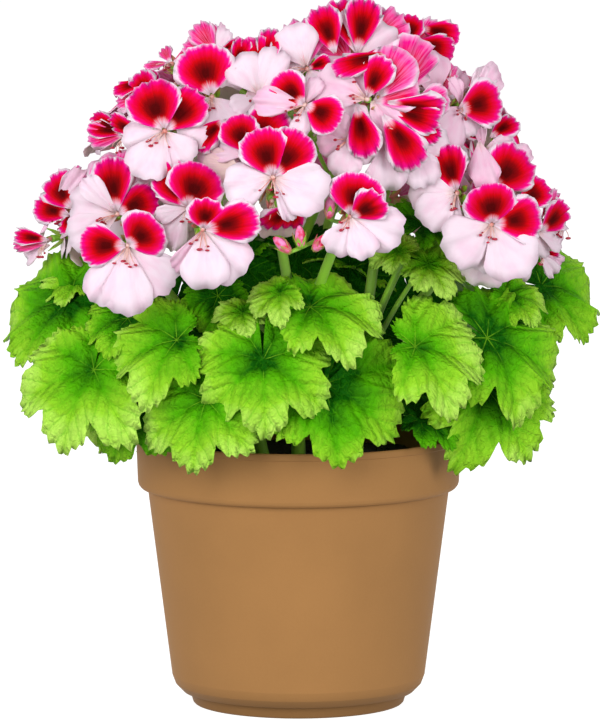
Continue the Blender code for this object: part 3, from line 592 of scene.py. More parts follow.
def outer_places(head):
    """Throat, turn and size of each bloom on the outside of the dome."""
    if head in HEADS:
        for x, y, forward, yaw, pitch, roll, size in HEADS[head]:
            yield on_dome(x, y, forward * MM), facing(yaw, pitch, roll), size
        return
    middle, blooms = FAR_HEADS[head]
    draw = random.Random(len(head) + middle)
    for angle, height, pitch in blooms:
        rise = (height * MM - DOME_CENTRE) / DOME_RADII[2]
        away = DOME_RADII[1] * sqrt(max(0.05, 1 - rise**2))
        yaw = middle + angle
        spot = towards(yaw, away, height * MM)
        yield spot, facing(yaw, pitch, draw.uniform(-25, 25)), draw.uniform(0.94, 1.04)


def hub_of(head):
    """Where a head's bloom stalks meet, a little inside and below its blooms."""
    spots = [(throat, turn.col[2]) for throat, turn, _ in outer_places(head)]
    middle = sum((throat for throat, look in spots), Vector()) / len(spots)
    look = sum((look for throat, look in spots), Vector()).normalized()
    return middle - look * HUB_BEHIND * MM - Vector((0, 0, HUB_BELOW * MM))


def stalk_line(head):
    """The flower stalk's points, from its shoot up to the foot of the head's hub."""
    start = along(stem_line(CARRIERS[head]), 0.9)
    hub = hub_of(head)
    middle = start.lerp(hub, 0.45)
    middle.z += 0.12 * (hub - start).length
    return bent(start, middle, hub, STALK_POINTS)


def leaf_places(shoot):
    """Stalk's end, turn, reach, brightness and shortening of each leaf of a shoot."""
    for x, y, forward, yaw, pitch, roll, reach, bright, shorter in LEAVES.get(shoot, []):
        yield seen_at(x, y, forward * MM), facing(yaw, pitch, roll), reach * MM, bright, shorter
    if shoot in FAR_LEAVES:
        middle, leaves = FAR_LEAVES[shoot]
        draw = random.Random(shoot)
        for angle, height, away, pitch, reach in leaves:
            yaw = middle + angle
            spot = towards(yaw, away * MM, height * MM)
            turn = facing(yaw, pitch, 180 + angle)
            yield spot, turn, reach * MM, draw.uniform(0.35, 0.65), 0.3


class Amount:
    """A number in a material, from a socket, that can be used in sums."""

    def __init__(self, finish, socket):
        self.finish = finish
        self.socket = socket

    def sum_with(self, operation, *others):
        """The outcome of this operation on these amounts or numbers."""
        values = dict(enumerate(others))
        made = self.finish.node("ShaderNodeMath", {"operation": operation}, values)
        return Amount(self.finish, made.outputs[0])

    def __add__(self, other):
        return self.sum_with("ADD", self, other)

    __radd__ = __add__

    def __sub__(self, other):
        return self.sum_with("SUBTRACT", self, other)

    def __rsub__(self, other):
        return self.sum_with("SUBTRACT", other, self)

    def __mul__(self, other):
        return self.sum_with("MULTIPLY", self, other)

    def __truediv__(self, other):
        return self.sum_with("DIVIDE", self, other)

    def __pow__(self, other):
        return self.sum_with("POWER", self, other)

    def __abs__(self):
        return self.sum_with("ABSOLUTE", self)

    def part(self):
        """What is left after the whole number."""
        return self.sum_with("FRACT", self)

    def sine(self):
        return self.sum_with("SINE", self)

    def cosine(self):
        return self.sum_with("COSINE", self)

    def above(self, other):
        """The larger of the two."""
        return self.sum_with("MAXIMUM", self, other)

    def ramp(self, start, end):
        """0 at start and 1 at end, smooth between them."""
        made = self.finish.node(
            "ShaderNodeMapRange",
            {"interpolation_type": "SMOOTHSTEP"},
            {"Value": self, "From Min": start, "From Max": end},
        )
        return Amount(self.finish, made.outputs[0])


class Finish:
    """A material that is being made, and the nodes in it."""

    def __init__(self, name, roughness, **fixed):
        self.made = bpy.data.materials.new(name)
        self.made.use_nodes = True
        self.tree = self.made.node_tree
        self.shader = self.tree.nodes["Principled BSDF"]
        self.shader.inputs["Roughness"].default_value = roughness
        for socket, value in fixed.items():
            self.shader.inputs[socket.replace("_", " ")].default_value = value

    def node(self, kind, settings, sockets):
        """A node of this kind, with its settings and its sockets' values or links."""
        made = self.tree.nodes.new(kind)
        for name, value in settings.items():
            if name == "stops":
                self.set_stops(made.color_ramp.elements, value)
            else:
                setattr(made, name, value)
        for name, value in sockets.items():
            self.feed(made.inputs[name], value)
        return made

    def set_stops(self, elements, stops):
        """Places and colours the stops of a scale of colours."""
        while len(elements) < len(stops):
            elements.new(1)
        for element, (place, colour) in zip(elements, stops):
            element.position = place
            element.color = (*colour, 1)

    def feed(self, socket, value):
        """Gives a socket a value, or a link."""
        if isinstance(value, Amount):
            value = value.socket
        if isinstance(value, bpy.types.NodeSocket):
            self.tree.links.new(value, socket)
        elif socket.type == "RGBA" and len(value) == 3:
            socket.default_value = (*value, 1)
        else:
            socket.default_value = value

    def split(self, socket):
        """The parts of a vector."""
        made = self.node("ShaderNodeSeparateXYZ", {}, {"Vector": socket})
        return [Amount(self, output) for output in made.outputs]

    def place(self):
        """The point on the object, in metres."""
        return self.node("ShaderNodeTexCoord", {}, {}).outputs["Object"]

    def own_map(self):
        """The piece's own map, as its two amounts."""
        made = self.node("ShaderNodeUVMap", {"uv_map": "UVMap"}, {})
        return self.split(made.outputs[0])[:2]

    def tint(self):
        """How far a leaf or petal is from its kin, from 0 to 1."""
        made = self.node("ShaderNodeAttribute", {"attribute_name": "tint"}, {})
        return Amount(self, made.outputs["Fac"])

    def joined(self, x, y, z):
        """A vector of three amounts."""
        return self.node("ShaderNodeCombineXYZ", {}, {"X": x, "Y": y, "Z": z}).outputs[0]

    def grain(self, vector, scale, detail=2.0, roughness=0.5):
        """Cloudy noise from 0 to 1."""
        made = self.node(
            "ShaderNodeTexNoise",
            {},
            {"Vector": vector, "Scale": scale, "Detail": detail, "Roughness": roughness},
        )
        return Amount(self, made.outputs["Fac"])

    def cells(self, vector, scale):
        """How far each point is from the nearest side of its cell in a net."""
        made = self.node(
            "ShaderNodeTexVoronoi",
            {"feature": "DISTANCE_TO_EDGE"},
            {"Vector": vector, "Scale": scale},
        )
        return Amount(self, made.outputs["Distance"])

    def shades(self, amount, stops):
        """The colour at this amount on a scale of colours."""
        return self.node("ShaderNodeValToRGB", {"stops": stops}, {"Fac": amount}).outputs[0]

    def mix(self, amount, first, second):
        """Two colours mixed."""
        made = self.node(
            "ShaderNodeMix",
            {"data_type": "RGBA", "clamp_factor": True},
            {0: amount, 6: first, 7: second},
        )
        return made.outputs[2]

    def relief(self, height, distance, strength=1.0):
        """Raises the surface where the height is more."""
        made = self.node(
            "ShaderNodeBump", {}, {"Strength": strength, "Distance": distance, "Height": height}
        )
        self.feed(self.shader.inputs["Normal"], made.outputs[0])

    def colour(self, value):
        self.feed(self.shader.inputs["Base Color"], value)

    def roughness(self, value):
        self.feed(self.shader.inputs["Roughness"], value)


def toned(colour, share, lift=0):
    """A colour that is made darker or paler."""
    return [min(1, share * part + lift) for part in colour]


def pot_finish(own):
    """Matt brown plastic, slightly mottled, with painted shade that darkens it towards its foot."""
    finish = Finish("pot_plastic_brown", 0.55, Specular_IOR_Level=0.08)
    place = finish.place()
    cloud = finish.grain(place, 26, 3)
    fleck = finish.grain(place, 900, 2)
    # Painted shade near the foot: 0 at 14 millimetres up and 1 at 3 millimetres and below, mixing in a
    # dark brown.
    painted_foot_shade = finish.split(place)[2].ramp(0.014, 0.003)
    scale = [(0.36, toned(own.colour, 0.96)), (0.64, toned(own.colour, 1.04))]
    brown = finish.shades(cloud * 0.8 + fleck * 0.2, scale)
    finish.colour(finish.mix(painted_foot_shade * 0.5, brown, toned(own.colour, 0.3)))
    finish.roughness(0.50 + cloud * 0.14)
    finish.relief(fleck, 0.00006, 0.5)
    return finish.made


def soil_finish(own):
    """Dark peat with paler crumbs."""
    finish = Finish("soil_peat", 0.95)
    place = finish.place()
    crumb = finish.grain(place, 520, 4, 0.7)
    finish.colour(finish.shades(crumb, [(0.40, own.colour), (0.72, toned(own.colour, 3.2))]))
    finish.relief(crumb, 0.0008)
    return finish.made


def leaf_coordinates(finish):
    """Across and along a leaf, the distance from its foot, and the angle to the nearest vein."""
    x, y = finish.own_map()
    x, y = x * 2 - 1, y * 2 - 1
    far = (x * x + y * y) ** 0.5
    angle = x.sum_with("ARCTAN2", x, y)
    off = abs((angle / radians(LOBE_ANGLE) + 0.5).part() - 0.5) * radians(LOBE_ANGLE)
    return x, y, far, off


def leaf_finish(own):
    """The top of a leaf: its own greens, with painted shade round its stalk and in the furrows along
    its veins, and painted sheen at its edge.
    """
    finish = Finish("leaf_top", 0.7, Specular_IOR_Level=0.05)
    x, y, far, off = leaf_coordinates(finish)
    tint = finish.tint()
    side = far * off.sine()
    ahead = far * off.cosine()
    rib = 1 - side.ramp(0.001, 0.009)
    # Painted shade in the furrows along the main veins, where the blade folds.
    furrow_shade = 1 - side.ramp(0.0, 0.07)
    net = finish.grain(finish.joined(x, y, tint * 9), 16, 3)
    cloud = finish.grain(finish.joined(x, y, tint * 31), 2.4, 2)
    weave = abs((ahead * 4.4 - side * 6.0 + cloud * 0.9 + net * 0.35).part() - 0.5)
    branch = weave.ramp(0.39, 0.495) * side.ramp(0.0, 0.02) * far.ramp(0.25, 0.45)
    cell = finish.cells(finish.joined(x + net * 0.1, y + net * 0.1, tint * 3), 13)
    # Besides the leaf's own greens, this scale paints shade towards the stalk and in the furrows, and
    # sheen towards the edge.
    shade = far * 0.96 + cloud * 0.60 + net * 0.16 + tint * 0.52 - furrow_shade * 0.10 - 0.74
    scale = [(0.0, own.dark), (0.32, own.middle), (0.66, own.bright), (0.96, own.edge)]
    green = finish.shades(shade, scale)
    green = finish.mix(rib * far.ramp(0.35, 0.6) * 0.35, green, own.middle)
    green = finish.mix(branch * cloud.ramp(0.25, 0.5) * 0.42, green, own.middle)
    green = finish.mix(cell.ramp(0.07, 0.0) * 0.16, green, own.middle)
    paler = rib * far.ramp(0.46, 0.1) * cloud.ramp(0.44, 0.56)
    finish.colour(finish.mix(paler * 0.5, green, own.bright))
    finish.roughness(0.60 + net * 0.2)
    puff = weave.ramp(0.5, 0.1) * 0.6 + side.ramp(0.0, 0.12) * 0.7 + cell.ramp(0.0, 0.3) * 0.3
    finish.relief(puff + net * 0.2, 0.0017, 0.8)
    return finish.made


def leaf_back_finish(own):
    """The underside of a leaf: paler and duller, with raised veins."""
    finish = Finish("leaf_underside", 0.65)
    x, y, far, off = leaf_coordinates(finish)
    rib = 1 - (far * off.sine()).ramp(0.008, 0.03)
    cloud = finish.grain(finish.joined(x, y, 0.0), 6, 3)
    scale = [(0.3, toned(own.bright, 0.75, 0.03)), (0.7, toned(own.bright, 0.9, 0.05))]
    finish.colour(finish.mix(rib, finish.shades(cloud, scale), own.edge))
    finish.relief(rib + cloud * 0.3, 0.0008)
    return finish.made


def stem_finish(own):
    """Young green stems, paler and redder in patches."""
    finish = Finish("stem_green", 0.5, Sheen_Weight=0.1)
    place = finish.place()
    cloud = finish.grain(place, 30, 3)
    patch = finish.grain(place, 55, 2)
    base = finish.shades(cloud, [(0.3, own.bright), (0.7, own.stalk)])
    red = (0.34, 0.10, 0.03)
    finish.colour(finish.mix(patch.ramp(0.60, 0.80) * 0.6, base, red))
    finish.relief(finish.grain(place, 1400, 2), 0.0002, 0.6)
    return finish.made


def petal_coordinates(finish):
    """Across from -1 to 1, along from 0 to 1, the tint, and streaks that run along the petal."""
    u, v = finish.own_map()
    u = u * 2 - 1
    tint = finish.tint()
    streak = finish.grain(finish.joined(u * 15, v * 1.8, tint * 23), 1.0, 4, 0.6)
    return u, v, tint, streak


def upper_petal_finish(own):
    """An upper petal: a dark blotch that runs through red and magenta to a white edge."""
    finish = Finish("petal_upper", 0.6, Specular_IOR_Level=0.03)
    u, v, tint, streak = petal_coordinates(finish)
    over = (v - 0.38).above(0) / 0.62
    under = (0.38 - v).above(0) / 0.30
    out = (abs(u * 0.95) ** 3.0 + over**3.0 + under**3) ** 0.333
    out = out + (streak - 0.5) * (0.18 + out * 0.10) + (tint.part() - 0.25) * 0.16
    rosy = tint.ramp(1.0, 2.0)
    out = out + (1 - out) * rosy * 0.50
    scale = [(0.16, own.blotch), (0.38, toned(own.red, 0.40)), (0.55, own.red)]
    scale += [(0.74, own.crimson), (0.90, own.magenta), (0.965, own.flush), (1.0, own.white)]
    flame = finish.shades(out, scale)
    flame = finish.mix(rosy * streak.ramp(0.35, 0.65) * 0.5, flame, own.flush)
    vein = streak.ramp(0.50, 0.66) * v.ramp(0.30, 0.10)
    claw = finish.mix(vein * 0.6, own.white, own.crimson)
    finish.colour(finish.mix((v + streak * 0.16).ramp(0.34, 0.15), flame, claw))
    finish.relief(streak, PETAL_GRAIN, 0.5)
    return finish.made


def lower_petal_finish(own):
    """A lower petal: white, with a pale pink flush and fine pink veins near its foot."""
    finish = Finish("petal_lower", 0.6, Specular_IOR_Level=0.1)
    u, v, tint, streak = petal_coordinates(finish)
    cloud = finish.grain(finish.joined(u * 1.2, v * 1.5, tint * 17), 1.6, 2)
    flushed = cloud.ramp(0.40, 0.75) * 0.40 + tint.ramp(0.5, 0.9) * (0.35 + cloud * 0.6)
    base = finish.mix(flushed, own.white, own.pale)
    base = finish.mix(v.ramp(0.30, 0.0) * 0.6, base, own.cream)
    vein = streak.ramp(0.56, 0.66) * v.ramp(0.40, 0.12)
    finish.colour(finish.mix(vein * 0.5, base, own.crimson))
    finish.relief(streak, PETAL_GRAIN, 0.35)
    return finish.made


def upper_back_finish(own):
    """The back of an upper petal: dusky crimson inside a pale edge."""
    finish = Finish("petal_upper_back", 0.6, Specular_IOR_Level=0.05)
    u, v, _, streak = petal_coordinates(finish)
    out = abs(u).above(v) + (streak - 0.5) * 0.25
    dusky = finish.mix(streak.ramp(0.35, 0.7), own.flush, own.magenta)
    finish.colour(finish.mix(out.ramp(1.0, 0.84) * 0.85, own.pale, dusky))
    finish.relief(streak, PETAL_GRAIN, 0.5)
    return finish.made


def lower_back_finish(own):
    """The back of a lower petal: beige and pale pink, finely veined."""
    finish = Finish("petal_lower_back", 0.6, Specular_IOR_Level=0.1)
    _, v, _, streak = petal_coordinates(finish)
    rosy = streak.ramp(0.45, 0.7) * 0.4 + v.ramp(0.2, 0.9) * 0.3
    finish.colour(finish.mix(rosy, own.cream, own.pale))
    finish.relief(streak, PETAL_GRAIN, 0.5)
    return finish.made


def stamen_finish(own):
    """Pink stamens, mottled with cream."""
    finish = Finish("stamen_pink", 0.45)
    cloud = finish.grain(finish.place(), 260, 2)
    pink = (0.62, 0.22, 0.18)
    finish.colour(finish.mix(cloud.ramp(0.35, 0.6) * 0.7, pink, own.cream))
    return finish.made


def anther_finish(own):
    """Dark red anthers."""
    finish = Finish("anther_red", 0.5)
    cloud = finish.grain(finish.place(), 700, 2)
    finish.colour(finish.mix(cloud, own.crimson, own.blotch))
    return finish.made


def bud_finish(own):
    """Closed buds: rosy, streaked with crimson."""
    finish = Finish("bud_rosy", 0.5)
    cloud = finish.grain(finish.place(), 300, 3)
    finish.colour(finish.mix(cloud.ramp(0.35, 0.65), own.flush, own.crimson))
    return finish.made


def calyx_finish(leaf):
    """Sepals of blooms and buds: green, flushed with pink-red."""
    finish = Finish("calyx_flushed", 0.5)
    cloud = finish.grain(finish.place(), 120, 2)
    red = (0.62, 0.16, 0.14)
    finish.colour(finish.mix(cloud.ramp(0.38, 0.60), leaf.bright, red))
    return finish.made


def placed(name, data):
    """A new object in the scene."""
    made = bpy.data.objects.new(name, data)
    bpy.context.scene.collection.objects.link(made)
    return made


def piece_from(name, mesh, node, slot, *finishes):
    """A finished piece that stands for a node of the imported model."""
    made = placed(name, mesh)
    for finish in finishes:
        mesh.materials.append(finish)
    mesh.shade_smooth()
    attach(made, "root")
    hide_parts(node)
    return made


def mesh_from(shape, name):
    """Turns a bmesh into a mesh."""
    mesh = bpy.data.meshes.new(name)
    shape.to_mesh(mesh)
    shape.free()
    return mesh


def final_mesh(made):
    """The mesh that an object ends up with; the object is removed."""
    bpy.context.view_layer.update()
    graph = bpy.context.evaluated_depsgraph_get()
    mesh = bpy.data.meshes.new_from_object(made.evaluated_get(graph))
    bpy.data.objects.remove(made)
    return mesh


def weld(shape):
    """Makes doubled points one and turns the faces outwards."""
    bmesh.ops.remove_doubles(shape, verts=shape.verts[:], dist=WELD)
    bmesh.ops.recalc_face_normals(shape, faces=shape.faces[:])


def number_faces(shape, first, number):
    """Gives the faces from the first on the finish with this number."""
    for face in list(shape.faces)[first:]:
        face.material_index = number


def tubes(name, routes, sides):
    """Round stalks along routes of points and radii, as one bmesh."""
    line = bpy.data.curves.new(name, "CURVE")
    line.dimensions = "3D"
    line.bevel_depth = 1
    line.bevel_resolution = sides // 2 - 2
    line.use_fill_caps = True
    for route in routes:
        spline = line.splines.new("POLY")
        spline.points.add(len(route) - 1)
        for point, (spot, radius) in zip(spline.points, route):
            point.co = (*spot, 1)
            point.radius = radius
    shape = bmesh.new()
    shape.from_mesh(final_mesh(placed(name, line)))
    weld(shape)
    return shape


def tapered(points, first, last):
    """The points with a radius that runs from first to last."""
    return [(p, first + (last - first) * k / (len(points) - 1)) for k, p in enumerate(points)]


def spun(profile, steps):
    """A bmesh that is turned about Z from a profile of radii and heights."""
    shape = bmesh.new()
    points = [shape.verts.new((radius, 0, height)) for radius, height in profile]
    edges = [shape.edges.new(pair) for pair in zip(points, points[1:])]
    bmesh.ops.spin(
        shape,
        geom=points + edges,
        cent=(0, 0, 0),
        axis=(0, 0, 1),
        angle=2 * pi,
        steps=steps,
        use_merge=True,
        use_duplicate=False,
    )
    weld(shape)
    if shape.calc_volume(signed=True) < 0:
        bmesh.ops.reverse_faces(shape, faces=shape.faces[:])
    return shape


def cut_drains(shape, own):
    """The pot's mesh, with the drain holes cut through its floor."""
    pot = placed("pot_uncut", mesh_from(shape, "pot_uncut"))
    cutter = bmesh.new()
    for k in range(own.drains):
        angle = 2 * pi * (k + 0.5) / own.drains
        spot = Vector((cos(angle), sin(angle), 0)) * own.drain_ring
        bmesh.ops.create_cone(
            cutter,
            cap_ends=True,
            segments=24,
            radius1=own.drain_radius,
            radius2=own.drain_radius,
            depth=0.02,
            matrix=Matrix.Translation(spot),
        )
    drill = placed("drain_drill", mesh_from(cutter, "drain_drill"))
    cut = pot.modifiers.new("drains", "BOOLEAN")
    cut.operation = "DIFFERENCE"
    cut.object = drill
    mesh = final_mesh(pot)
    bpy.data.objects.remove(drill)
    return mesh


def pot_profile(own):
    """The radii and heights of the pot's wall, down the outside and up the inside."""
    rim, height, wall = own.rim_radius, own.height, own.wall
    collar = height - own.collar_height
    top, bottom, foot = own.body_top_radius, own.body_bottom_radius, own.foot_radius
    return [
        (rim - 0.5 * MM, height),
        (rim, height - 0.6 * MM),
        (rim, height - 3.0 * MM),
        (rim - 0.5 * MM, height - 3.5 * MM),
        (rim - 1.2 * MM, collar + 0.8 * MM),
        (rim - 1.6 * MM, collar - 0.5 * MM),
        (rim - 2.4 * MM, collar - 1.5 * MM),
        (rim - 3.7 * MM, collar - 2.0 * MM),
        (top + 0.2 * MM, collar - 2.3 * MM),
        (top, collar - 2.8 * MM),
        (bottom, 13.2 * MM),
        (bottom - 1.5 * MM, 9.2 * MM),
        (bottom - 4.8 * MM, 5.8 * MM),
        (foot + 2 * MM, 5.1 * MM),
        (foot + 0.6 * MM, 0.6 * MM),
        (foot, 0),
        (0, 0),
        (0, own.floor),
        (foot - wall, own.floor),
        (bottom - 7 * MM, 8.6 * MM),
        (bottom - wall, 14.6 * MM),
        (top - wall, collar - 2.4 * MM),
        (rim - 1.5 * MM - wall, collar + 0.8 * MM),
        (rim - wall, height - 0.6 * MM),
        (rim - 0.5 * MM, height),
    ]


def make_pot(own):
    """The pot, with its edges eased."""
    mesh = cut_drains(spun(pot_profile(own), POT_STEPS), own)
    pot = piece_from("pot_shell", mesh, "pot", "pot_plastic", pot_finish(own))
    edge = pot.modifiers.new("eased edges", "BEVEL")
    edge.width = own.ease
    edge.segments = 3
    edge.limit_method = "ANGLE"
    edge.angle_limit = radians(9)
    edge.use_clamp_overlap = True
    mesh.set_sharp_from_angle(angle=radians(60))


def make_soil(own, pot):
    """Peat that fills the pot, rough on top, with loose crumbs."""
    slack = pot.wall + 0.8 * MM
    collar = pot.height - pot.collar_height
    outer = pot.rim_radius - 1.1 * MM - slack
    rings = int(outer / SOIL_RING)
    profile = [(outer * k / rings, own.top) for k in range(rings)]
    profile += [
        (outer, own.top - 2.4 * MM),
        (pot.rim_radius - 1.5 * MM - slack, collar + 1.4 * MM),
        (pot.body_top_radius - slack, collar - 2.8 * MM),
        (pot.body_bottom_radius - slack, 15.2 * MM),
        (pot.body_bottom_radius - 8.2 * MM, 9.6 * MM),
        (pot.foot_radius - slack, pot.floor + 0.3 * MM),
        (0, pot.floor + 0.3 * MM),
    ]
    shape = spun(profile, SOIL_STEPS)
    for point in shape.verts:
        if point.co.z > own.top - 1.2 * MM:
            lump = noise.fractal(point.co * 260, 1.0, 2.0, 3)
            point.co.z += max(-2.2, min(1.6, 1.3 * lump)) * MM
    draw = random.Random(CRUMB_SEED)
    for _ in range(own.crumbs):
        away = sqrt(draw.random()) * (outer - 4 * MM)
        spot = towards(draw.uniform(0, 360), away, own.top + draw.uniform(-0.6, 0.9) * MM)
        size = draw.uniform(0.5, 1.5) * MM
        stretch = Matrix.Diagonal((size, size * draw.uniform(0.6, 1.2), size * 0.7, 1))
        turn = Matrix.Rotation(draw.uniform(0, pi), 4, "Z")
        lie = Matrix.Translation(spot) @ turn @ stretch
        bmesh.ops.create_icosphere(shape, subdivisions=1, radius=1, matrix=lie)
    name = "soil_peat"
    piece_from(name, mesh_from(shape, name), "soil", "potting_soil", soil_finish(own))


def leaf_edge(step, shorter):
    """How far a leaf reaches at this step of its edge, and how far off a lobe's middle that is."""
    lobe = abs(step) / LOBE_STEPS
    k = min(int(lobe), len(LOBE_LENGTHS) - 2)
    length = LOBE_LENGTHS[k] + (LOBE_LENGTHS[k + 1] - LOBE_LENGTHS[k]) * (lobe - k)
    length *= 1 - shorter * max(0, lobe - 1.2) / 2.3 * 0.6
    off = abs((lobe + 0.5) % 1 - 0.5) * 2
    return length * (1 - 0.04 * off - 0.10 * off**3 + 0.02 * cos(3 * pi * off)), off


def add_leaf(shape, turn, end, reach, bright, shorter, draw, own):
    """A toothed, lobed leaf, its stalk's end at its foot and its middle lobe on its own Y."""
    made = bmesh.ops.create_grid(
        shape, x_segments=LEAF_STEPS, y_segments=LEAF_RINGS, size=1, calc_uvs=False
    )["verts"]
    tint = shape.verts.layers.float["tint"]
    flat = shape.verts.layers.float_vector["flat"]
    half = LEAF_STEPS // 2
    teeth = [draw.uniform(0.6, 1.4) for _ in range(LEAF_STEPS // len(TOOTH) + 1)]
    droop = own.droop + draw.uniform(-0.06, 0.06)
    cup = own.cup * draw.uniform(0.7, 1.3)
    waves = [draw.uniform(0, 2 * pi) for _ in range(4)]
    tilts = [draw.uniform(-0.22, 0.10) for _ in range(8)]
    sizes = [draw.uniform(0.92, 1.05) for _ in range(8)]
    bays = [draw.uniform(0.03, 0.19) for _ in range(9)]
    for point in made:
        step = round((point.co.x + 1) / 2 * LEAF_STEPS) - half
        ring = (point.co.y + 1) / 2
        angle = radians(step * LOBE_ANGLE / LOBE_STEPS)
        far, off = leaf_edge(step, shorter)
        lobe = (step + half) // LOBE_STEPS
        bay = (step + half + LOBE_STEPS // 2) // LOBE_STEPS
        far *= 1 + (sizes[lobe] - 1) * (1 - off**2) - bays[bay] * off**4
        nick, phase = divmod(step + half, len(TOOTH))
        tooth = own.tooth * teeth[nick] * TOOTH[phase]
        share = ring**0.9 * (far + tooth * ring**7 * (1.1 - 0.5 * off))
        x, y = sin(angle) * share, cos(angle) * share
        height = own.pleat * (off - 0.45) * share * (0.6 + 0.6 * ring)
        height += cup * share - (cup + droop) * share**2
        height += tilts[lobe] * (1 - off**2) * share**2
        height += 0.05 * sin(2 * angle + waves[3]) * share
        height += 0.05 * sin(3 * angle + waves[0]) * share**2
        height += 0.035 * sin(8 * angle + waves[1]) * share**3
        height += own.tooth * 0.5 * ring**6 * sin(step * 1.9 + waves[2])
        point[tint] = bright
        point[flat] = (x, y, 0)
        point.co = end + turn @ (Vector((x, y, height)) * reach)


def add_maps(shape):
    """Lays each leaf flat on the piece's own map."""
    flat = shape.verts.layers.float_vector["flat"]
    layer = shape.loops.layers.uv.new("UVMap")
    for face in shape.faces:
        for corner in face.loops:
            place = corner.vert[flat]
            corner[layer].uv = (place[0] / 2 + 0.5, place[1] / 2 + 0.5)


def thicken(made, thickness):
    """Gives thin blades their thickness, with the next finish on their backs."""
    blade = made.modifiers.new("thickness", "SOLIDIFY")
    blade.thickness = thickness
    blade.offset = -1
    blade.material_offset = 1
    blade.use_even_offset = False


def make_leaves(shoot, own, top, back):
    """Every leaf of a shoot."""
    shape = bmesh.new()
    shape.verts.layers.float.new("tint")
    shape.verts.layers.float_vector.new("flat")
    draw = random.Random(shoot)
    for end, turn, reach, bright, shorter in leaf_places(shoot):
        add_leaf(shape, turn, end, reach, bright, shorter, draw, own)
    add_maps(shape)
    bmesh.ops.remove_doubles(shape, verts=shape.verts[:], dist=WELD)
    name = shoot + "_leaves"
    made = piece_from(name, mesh_from(shape, name), shoot, "leaf_green", top, back)
    thicken(made, own.thickness)


def make_stems(shoot, own, finish):
    """A shoot's stem, its leaf stalks and the flower stalks that it carries."""
    line = stem_line(shoot)
    stem = []
    for k in range(STEM_POINTS):
        radius = own.stem_radius * (1 + 0.10 * cos(2 * pi * k / 5)) * (1 - 0.012 * k)
        stem.append((along(line, k / (STEM_POINTS - 1)), radius))
    routes = [stem]
    thin, thick = own.leaf_stalk_radius * 0.8, own.leaf_stalk_radius * 1.2
    for number, (end, turn, *_) in enumerate(leaf_places(shoot)):
        start = along(line, 0.45 + 0.11 * (number % 5))
        under = end - turn.col[2] * 4 * MM - turn.col[1] * 2 * MM
        middle = start.lerp(under, 0.6)
        middle.z += 0.1 * (under - start).length
        points = bent(start, middle, under, STALK_POINTS) + [end - turn.col[2] * 0.3 * MM]
        routes.append(tapered(points, thick, thin))
    radius = own.flower_stalk_radius
    for head, carrier in CARRIERS.items():
        if carrier == shoot:
            routes.append(tapered(stalk_line(head), radius * 1.2, radius))
    name = shoot + "_stems"
    mesh = mesh_from(tubes(name, routes, STALK_SIDES), name)
    piece_from(name, mesh, shoot, "leaf_green", finish)


def petal_point(u, v, form):
    """A point on a petal of length 1 whose foot is at the origin and whose tip is on Y."""
    out = (0.06 + 0.94 * v) * (1 - 0.30 * abs(u) ** 3)
    frill = max(0, max(v, abs(u) * v**0.5) - 0.45) / 0.55
    waves, phase = form["waves"], form["phase"]
    wave = sin(waves * pi * u + phase) + 0.5 * sin(waves * 1.9 * pi * u + 2.3 * phase)
    nick = sin(waves * 2.3 * pi * u + phase) + 0.8 * sin(waves * 1.2 * pi * u + 1.7 * phase)
    out *= 1 + form["nick"] * frill**2 * nick
    angle = u * form["spread"]
    x, y = sin(angle) * out, cos(angle) * out
    z = 0.42 * out - 0.26 * out**2
    z += form["curl"] * u * u * out
    z += form["frill"] * frill**1.6 * wave
    z += 0.010 * sin(2.6 * pi * u + 3 * phase) * out
    z += form["dent"] * (1 - min(1, abs(u) * 3)) * out
    fold = form["fold"] * out**2
    y, z = y * cos(fold) - z * sin(fold), z * cos(fold) + y * sin(fold)
    return Vector((x, y, z))


def petal_form(draw, kind, spread, own):
    """How one petal differs from its kin."""
    upper = kind in UPPER_KINDS
    return {
        "spread": radians(spread * draw.uniform(0.98, 1.10)),
        "waves": draw.uniform(4.2, 6.0) if upper else draw.uniform(1.6, 2.6),
        "phase": draw.uniform(0, 2 * pi),
        "curl": draw.uniform(-0.20, 0.04) if upper else draw.uniform(-0.24, 0.10),
        "frill": own.frill * draw.uniform(0.7, 1.3) * (1 if upper else 0.6),
        "nick": draw.uniform(0.008, 0.018) if upper else draw.uniform(0.014, 0.026),
        "dent": draw.uniform(-0.08, 0.03),
        "fold": draw.uniform(-0.30, 0.12) if upper else draw.uniform(-0.40, 0.05),
    }


def petal_tint(draw, kind):
    """How pink a petal is: up to a half is common, and a rosy upper petal has no dark heart."""
    if kind == "rosy":
        return 2 + draw.uniform(0.0, 0.6)
    return draw.uniform(0.7, 1.0) if kind == "pink" else draw.uniform(0.0, 0.5)


def add_petal(shape, kind, base, foot, length, form, tint, steps):
    """A petal with a frilled edge, its faces numbered by its finish."""
    before = len(shape.faces)
    made = bmesh.ops.create_grid(
        shape, x_segments=steps[0], y_segments=steps[1], size=1, calc_uvs=True
    )["verts"]
    layer = shape.verts.layers.float["tint"]
    for point in made:
        u, v = point.co.x, (point.co.y + 1) / 2
        point[layer] = tint
        point.co = foot + base @ (petal_point(u, v, form) * length)
    number_faces(shape, before, UPPER_TOP if kind in UPPER_KINDS else LOWER_TOP)


def laid_on(x, y, foot, look):
    """The point at this pixel in the plane of a bloom, kept near the depth of its foot."""
    level, step = -foot.y, 1 * MM
    near, far = seen_at(x, y, level), seen_at(x, y, level + step)
    slope = (far - near).dot(look)
    off = (foot - near).dot(look)
    ahead = off / slope * step if abs(slope) > 1e-7 else 0
    return seen_at(x, y, level + max(-TIP_DEPTH, min(TIP_DEPTH, ahead)))


